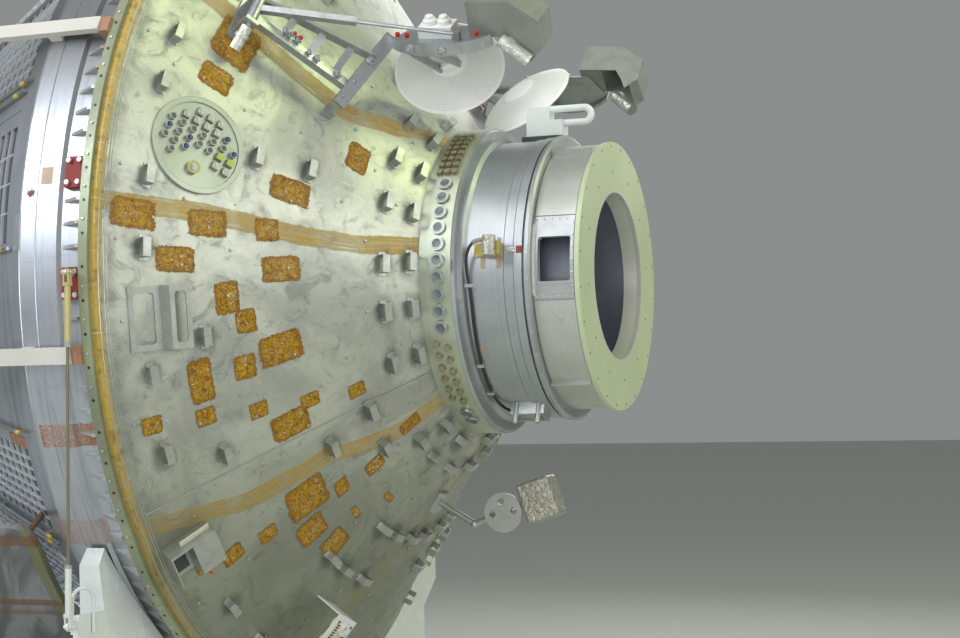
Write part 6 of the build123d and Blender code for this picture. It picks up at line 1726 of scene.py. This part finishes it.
@dataclass
class Antennas(Assembly):
    """The folding booms with their decks, hoods and perforated dishes. All places are on the -Y side."""

    wings: tuple[Wing, Wing] = (Wing("left", 1), Wing("right", -1))
    # The dish: the direction it looks in, its rim's middle and its depth
    look: Point = (0.345, -0.608, -0.712)
    centre: Point = (1.052, -0.550, 0.960)
    depth: float = 0.078
    # The boom's hinge, elbow and foot, the deck's two ends, and how far it leans and bows
    hinge: Point = (0.420, -1.270, 1.173)
    elbow: Point = (0.740, -0.972, 0.832)
    foot: Point = (0.692, -1.018, 0.764)
    deck: tuple[Point, Point] = ((0.899, -0.900, 1.056), (1.388, -0.900, 1.015))
    deck_lean: float = 33.5
    bulge: float = 0.110
    # The wrapped bundle: its start back along the pin and out of the cone, its step, radius, and its clamp's normal
    bundle_start: tuple[float, float] = (0.136, 0.010)
    bundle_step: Point = (-0.020, -0.004, -0.032)
    bundle_radius: float = 0.026
    clamp_normal: Point = (-0.5, -0.1, -0.84)
    # The boom's lower beam, back along the pin
    beam_back: float = 0.062
    # The boom's small gear: share of the way to the elbow, height, size
    boom_gear: tuple[Point, ...] = (
        (0.30, 0.022, 0.030), (0.36, 0.026, 0.022), (0.42, 0.022, 0.034), (0.55, 0.022, 0.024),
        (0.63, 0.020, 0.030), (0.84, 0.020, 0.036))
    # Where the boom's caps stand: shares of the way to the elbow
    boom_caps: tuple[float, float] = (0.38, 0.44)
    # The arm's bolts: share of the way to the deck, radius, height
    arm_bolts: tuple[Point, ...] = ((0.08, 0.008, 0.010), (0.30, 0.010, 0.012), (0.62, 0.024, 0.014))
    # The deck's round boxes: share of its length, radius
    deck_boxes: tuple[tuple[float, float], ...] = ((0.28, 0.021), (0.60, 0.019))
    # The deck's caps: share of its length, how far back
    deck_caps: tuple[tuple[float, float], ...] = ((0.10, 0.02), (0.20, 0.01), (0.86, 0.03))
    # The canister's foil: its middle off the deck's middle and its axis, both ahead and down
    canister_off: tuple[float, float] = (0.342, 0.052)
    canister_axis: tuple[float, float] = (0.766, 0.643)
    canister_radius: float = 0.0335
    canister_reach: tuple[float, ...] = (-0.079, -0.03, 0.03, 0.079)

    def build(self) -> None:
        """Dresses both antennas and adds their small pieces."""
        boom = Metal("boom_machined", (0.50, 0.52, 0.54), (0.30, 0.32, 0.34), 0.36, 0.88, cloud_scale=16.0)
        white = Paint("instrument_white", (0.78, 0.79, 0.77))
        hood = Metal("hood_grey", (0.30, 0.31, 0.28), (0.20, 0.21, 0.19), 0.46, 0.5, cloud_scale=8.0)
        for wing in self.wings:
            side = wing.side
            self.dress(boom, f"boom_{side}", f"boom_base_{side}")
            self.dress(white, f"instruments_{side}")
            self.dress(hood, f"hood_{side}")
            look = wing.mirrored(Vector(self.look)).normalized()
            vertex = wing.mirrored(Vector(self.centre)) + Vector(HULL.origin) - look * self.depth
            axis = (AHEAD - look * look.x).normalized()
            self.dress(DishSkin(f"dish_perforated_{side}", tuple(vertex), tuple(look), tuple(axis)), f"dish_{side}")
            self.bundle(wing)
            self.small_gear(wing, boom)

    def hinge_axes(self) -> tuple[Vector, Vector]:
        """Finds the hinge's directions.

        Returns:
            The pin's direction and the cone's normal.
        """
        hinge = Vector(self.hinge)
        pin = Vector((0.0, hinge.z, -hinge.y)).normalized()
        out = Vector((1.0 / HULL.slope, hinge.y / hinge.yz.length, hinge.z / hinge.yz.length)).normalized()
        return pin, out

    def deck_axes(self) -> tuple[Vector, Vector, Vector]:
        """Finds the deck's directions.

        Returns:
            The directions along the deck, up its face and out of it.
        """
        lean = math.radians(self.deck_lean)
        ahead = (Vector(self.deck[1]) - Vector(self.deck[0])).normalized()
        upright = Vector((0.0, -math.sin(lean), math.cos(lean)))
        upright = (upright - ahead * upright.dot(ahead)).normalized()
        return ahead, upright, -upright.cross(ahead)

    def bundle(self, wing: Wing) -> None:
        """Hangs the wrapped bundle with its clamp at the hinge.

        Args:
            wing: the side.
        """
        pin, out = self.hinge_axes()
        start = Vector(self.hinge) - pin * self.bundle_start[0] + out * self.bundle_start[1]
        points = [start + Vector(self.bundle_step) * n for n in range(4)]
        pieces = [Bench.tube([wing.seat(point, out).translation for point in points], self.bundle_radius, 12),
                  Bench.drum(0.031, 0.020, 16, wing.seat(points[1], Vector(self.clamp_normal)), 0.004)]
        self.keep(pieces, f"hinge_bundle_{wing.side}",
                  Foil(f"bundle_wrap_{wing.side}", (0.86, 0.86, 0.80), (0.52, 0.52, 0.46), 30.0))

    def small_gear(self, wing: Wing, metal: Finish) -> None:
        """Adds what rides on the boom: its small gear, the canister's foil and the red caps.

        Args:
            wing: the side.
            metal: the small gear's finish.
        """
        body = f"antenna_{wing.side}"
        boom_gear, boom_caps = self.on_boom(wing)
        deck_gear, deck_caps = self.on_deck(wing)
        self.keep(boom_gear + deck_gear, f"boom_gear_{wing.side}", metal, body)
        self.keep([self.canister(wing)], f"canister_wrap_{wing.side}",
                  Foil(f"canister_foil_{wing.side}", (0.84, 0.84, 0.80), (0.50, 0.50, 0.46), 34.0), body)
        self.keep(boom_caps + deck_caps, f"boom_caps_{wing.side}",
                  Paint(f"cap_red_{wing.side}", (0.50, 0.02, 0.015), chips=0.1), body)

    def on_boom(self, wing: Wing) -> tuple[list[Piece], list[Piece]]:
        """Models what stands on the boom and its arm.

        Args:
            wing: the side.

        Returns:
            The gear and the caps.
        """
        pin, out = self.hinge_axes()
        foot, low = Vector(self.foot), Vector(self.hinge) - pin * self.beam_back
        reach, arm = Vector(self.elbow) - low, Vector(self.deck[0]) - foot
        gear = []
        for share, rise, size in self.boom_gear:
            spot = wing.seat(low + reach * share + pin * (0.030 if share < 0.5 else 0.006) + out * rise, out)
            gear.append(Bench.block((size, size * 0.8, 0.016), spot, 0.003))
            gear.append(Bench.drum(size * 0.28, 0.022, 12, spot, 0.002))
        caps = [Bench.drum(0.0095, 0.012, 14, wing.seat(low + reach * share + pin * 0.034 + out * 0.040, out), 0.003)
                for share in self.boom_caps]
        gear += [Bench.drum(radius, height, 20, wing.seat(foot + arm * share + out * 0.014, out), 0.003)
                 for share, radius, height in self.arm_bolts]
        gear.append(Bench.drum(0.011, 0.010, 6, wing.seat(foot + arm * 0.62 + out * 0.028, out), 0.002))
        return gear, caps

    def on_deck(self, wing: Wing) -> tuple[list[Piece], list[Piece]]:
        """Models what stands on the deck.

        Args:
            wing: the side.

        Returns:
            The round boxes with their nuts, and the caps.
        """
        _, upright, front = self.deck_axes()
        left = Vector(self.deck[0])
        span = Vector(self.deck[1]) - left
        gear = []
        for share, radius in self.deck_boxes:
            off = self.bulge * (1.0 - (2.0 * share - 1.0) ** 2) + 0.009
            spot = wing.seat(left + span * share + front * off, front)
            gear.append(Bench.drum(radius, 0.016, 20, spot, 0.004))
            gear.append(Bench.drum(radius * 0.45, 0.026, 6, spot, 0.002))
        spots = [left + span * share + front * (self.bulge * 0.3 - back) + upright * 0.022
                 for share, back in self.deck_caps]
        return gear, [Bench.drum(0.011, 0.020, 14, wing.seat(spot, upright), 0.003) for spot in spots]

    def canister(self, wing: Wing) -> Piece:
        """Wraps the canister at the deck's end in its foil.

        Args:
            wing: the side.

        Returns:
            The foil.
        """
        ahead, upright, front = self.deck_axes()
        axis = ahead * self.canister_axis[0] - upright * self.canister_axis[1]
        middle = (Vector(self.deck[0]) + Vector(self.deck[1])) / 2
        centre = middle + ahead * self.canister_off[0] - front * 0.004 - upright * self.canister_off[1]
        points = [wing.seat(centre + axis * t, axis).translation for t in self.canister_reach]
        return Bench.tube(points, self.canister_radius, 20)


@dataclass
class Probe(Assembly):
    """The wrapped probe under the collar."""

    def build(self) -> None:
        """Dresses the probe."""
        self.dress(Metal("probe_metal", (0.52, 0.53, 0.50), (0.34, 0.35, 0.33), 0.38, 0.8, cloud_scale=14.0),
                   "probe_arm", "probe_disc")
        self.dress(Foil("probe_foil", (0.50, 0.50, 0.41)), "probe_box")


def main() -> None:
    """Builds the whole visual model."""
    logging.basicConfig(level=logging.INFO, format="%(message)s")
    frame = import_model()
    Studio().build()
    for assembly in (Cone, Collar, Tunnel, Barrel, TieDowns, Antennas, Probe):
        assembly(frame["nodes"]).build()
        LOG.info("%s done", assembly.__name__)
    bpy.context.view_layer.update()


if __name__ == "__main__":
    main()
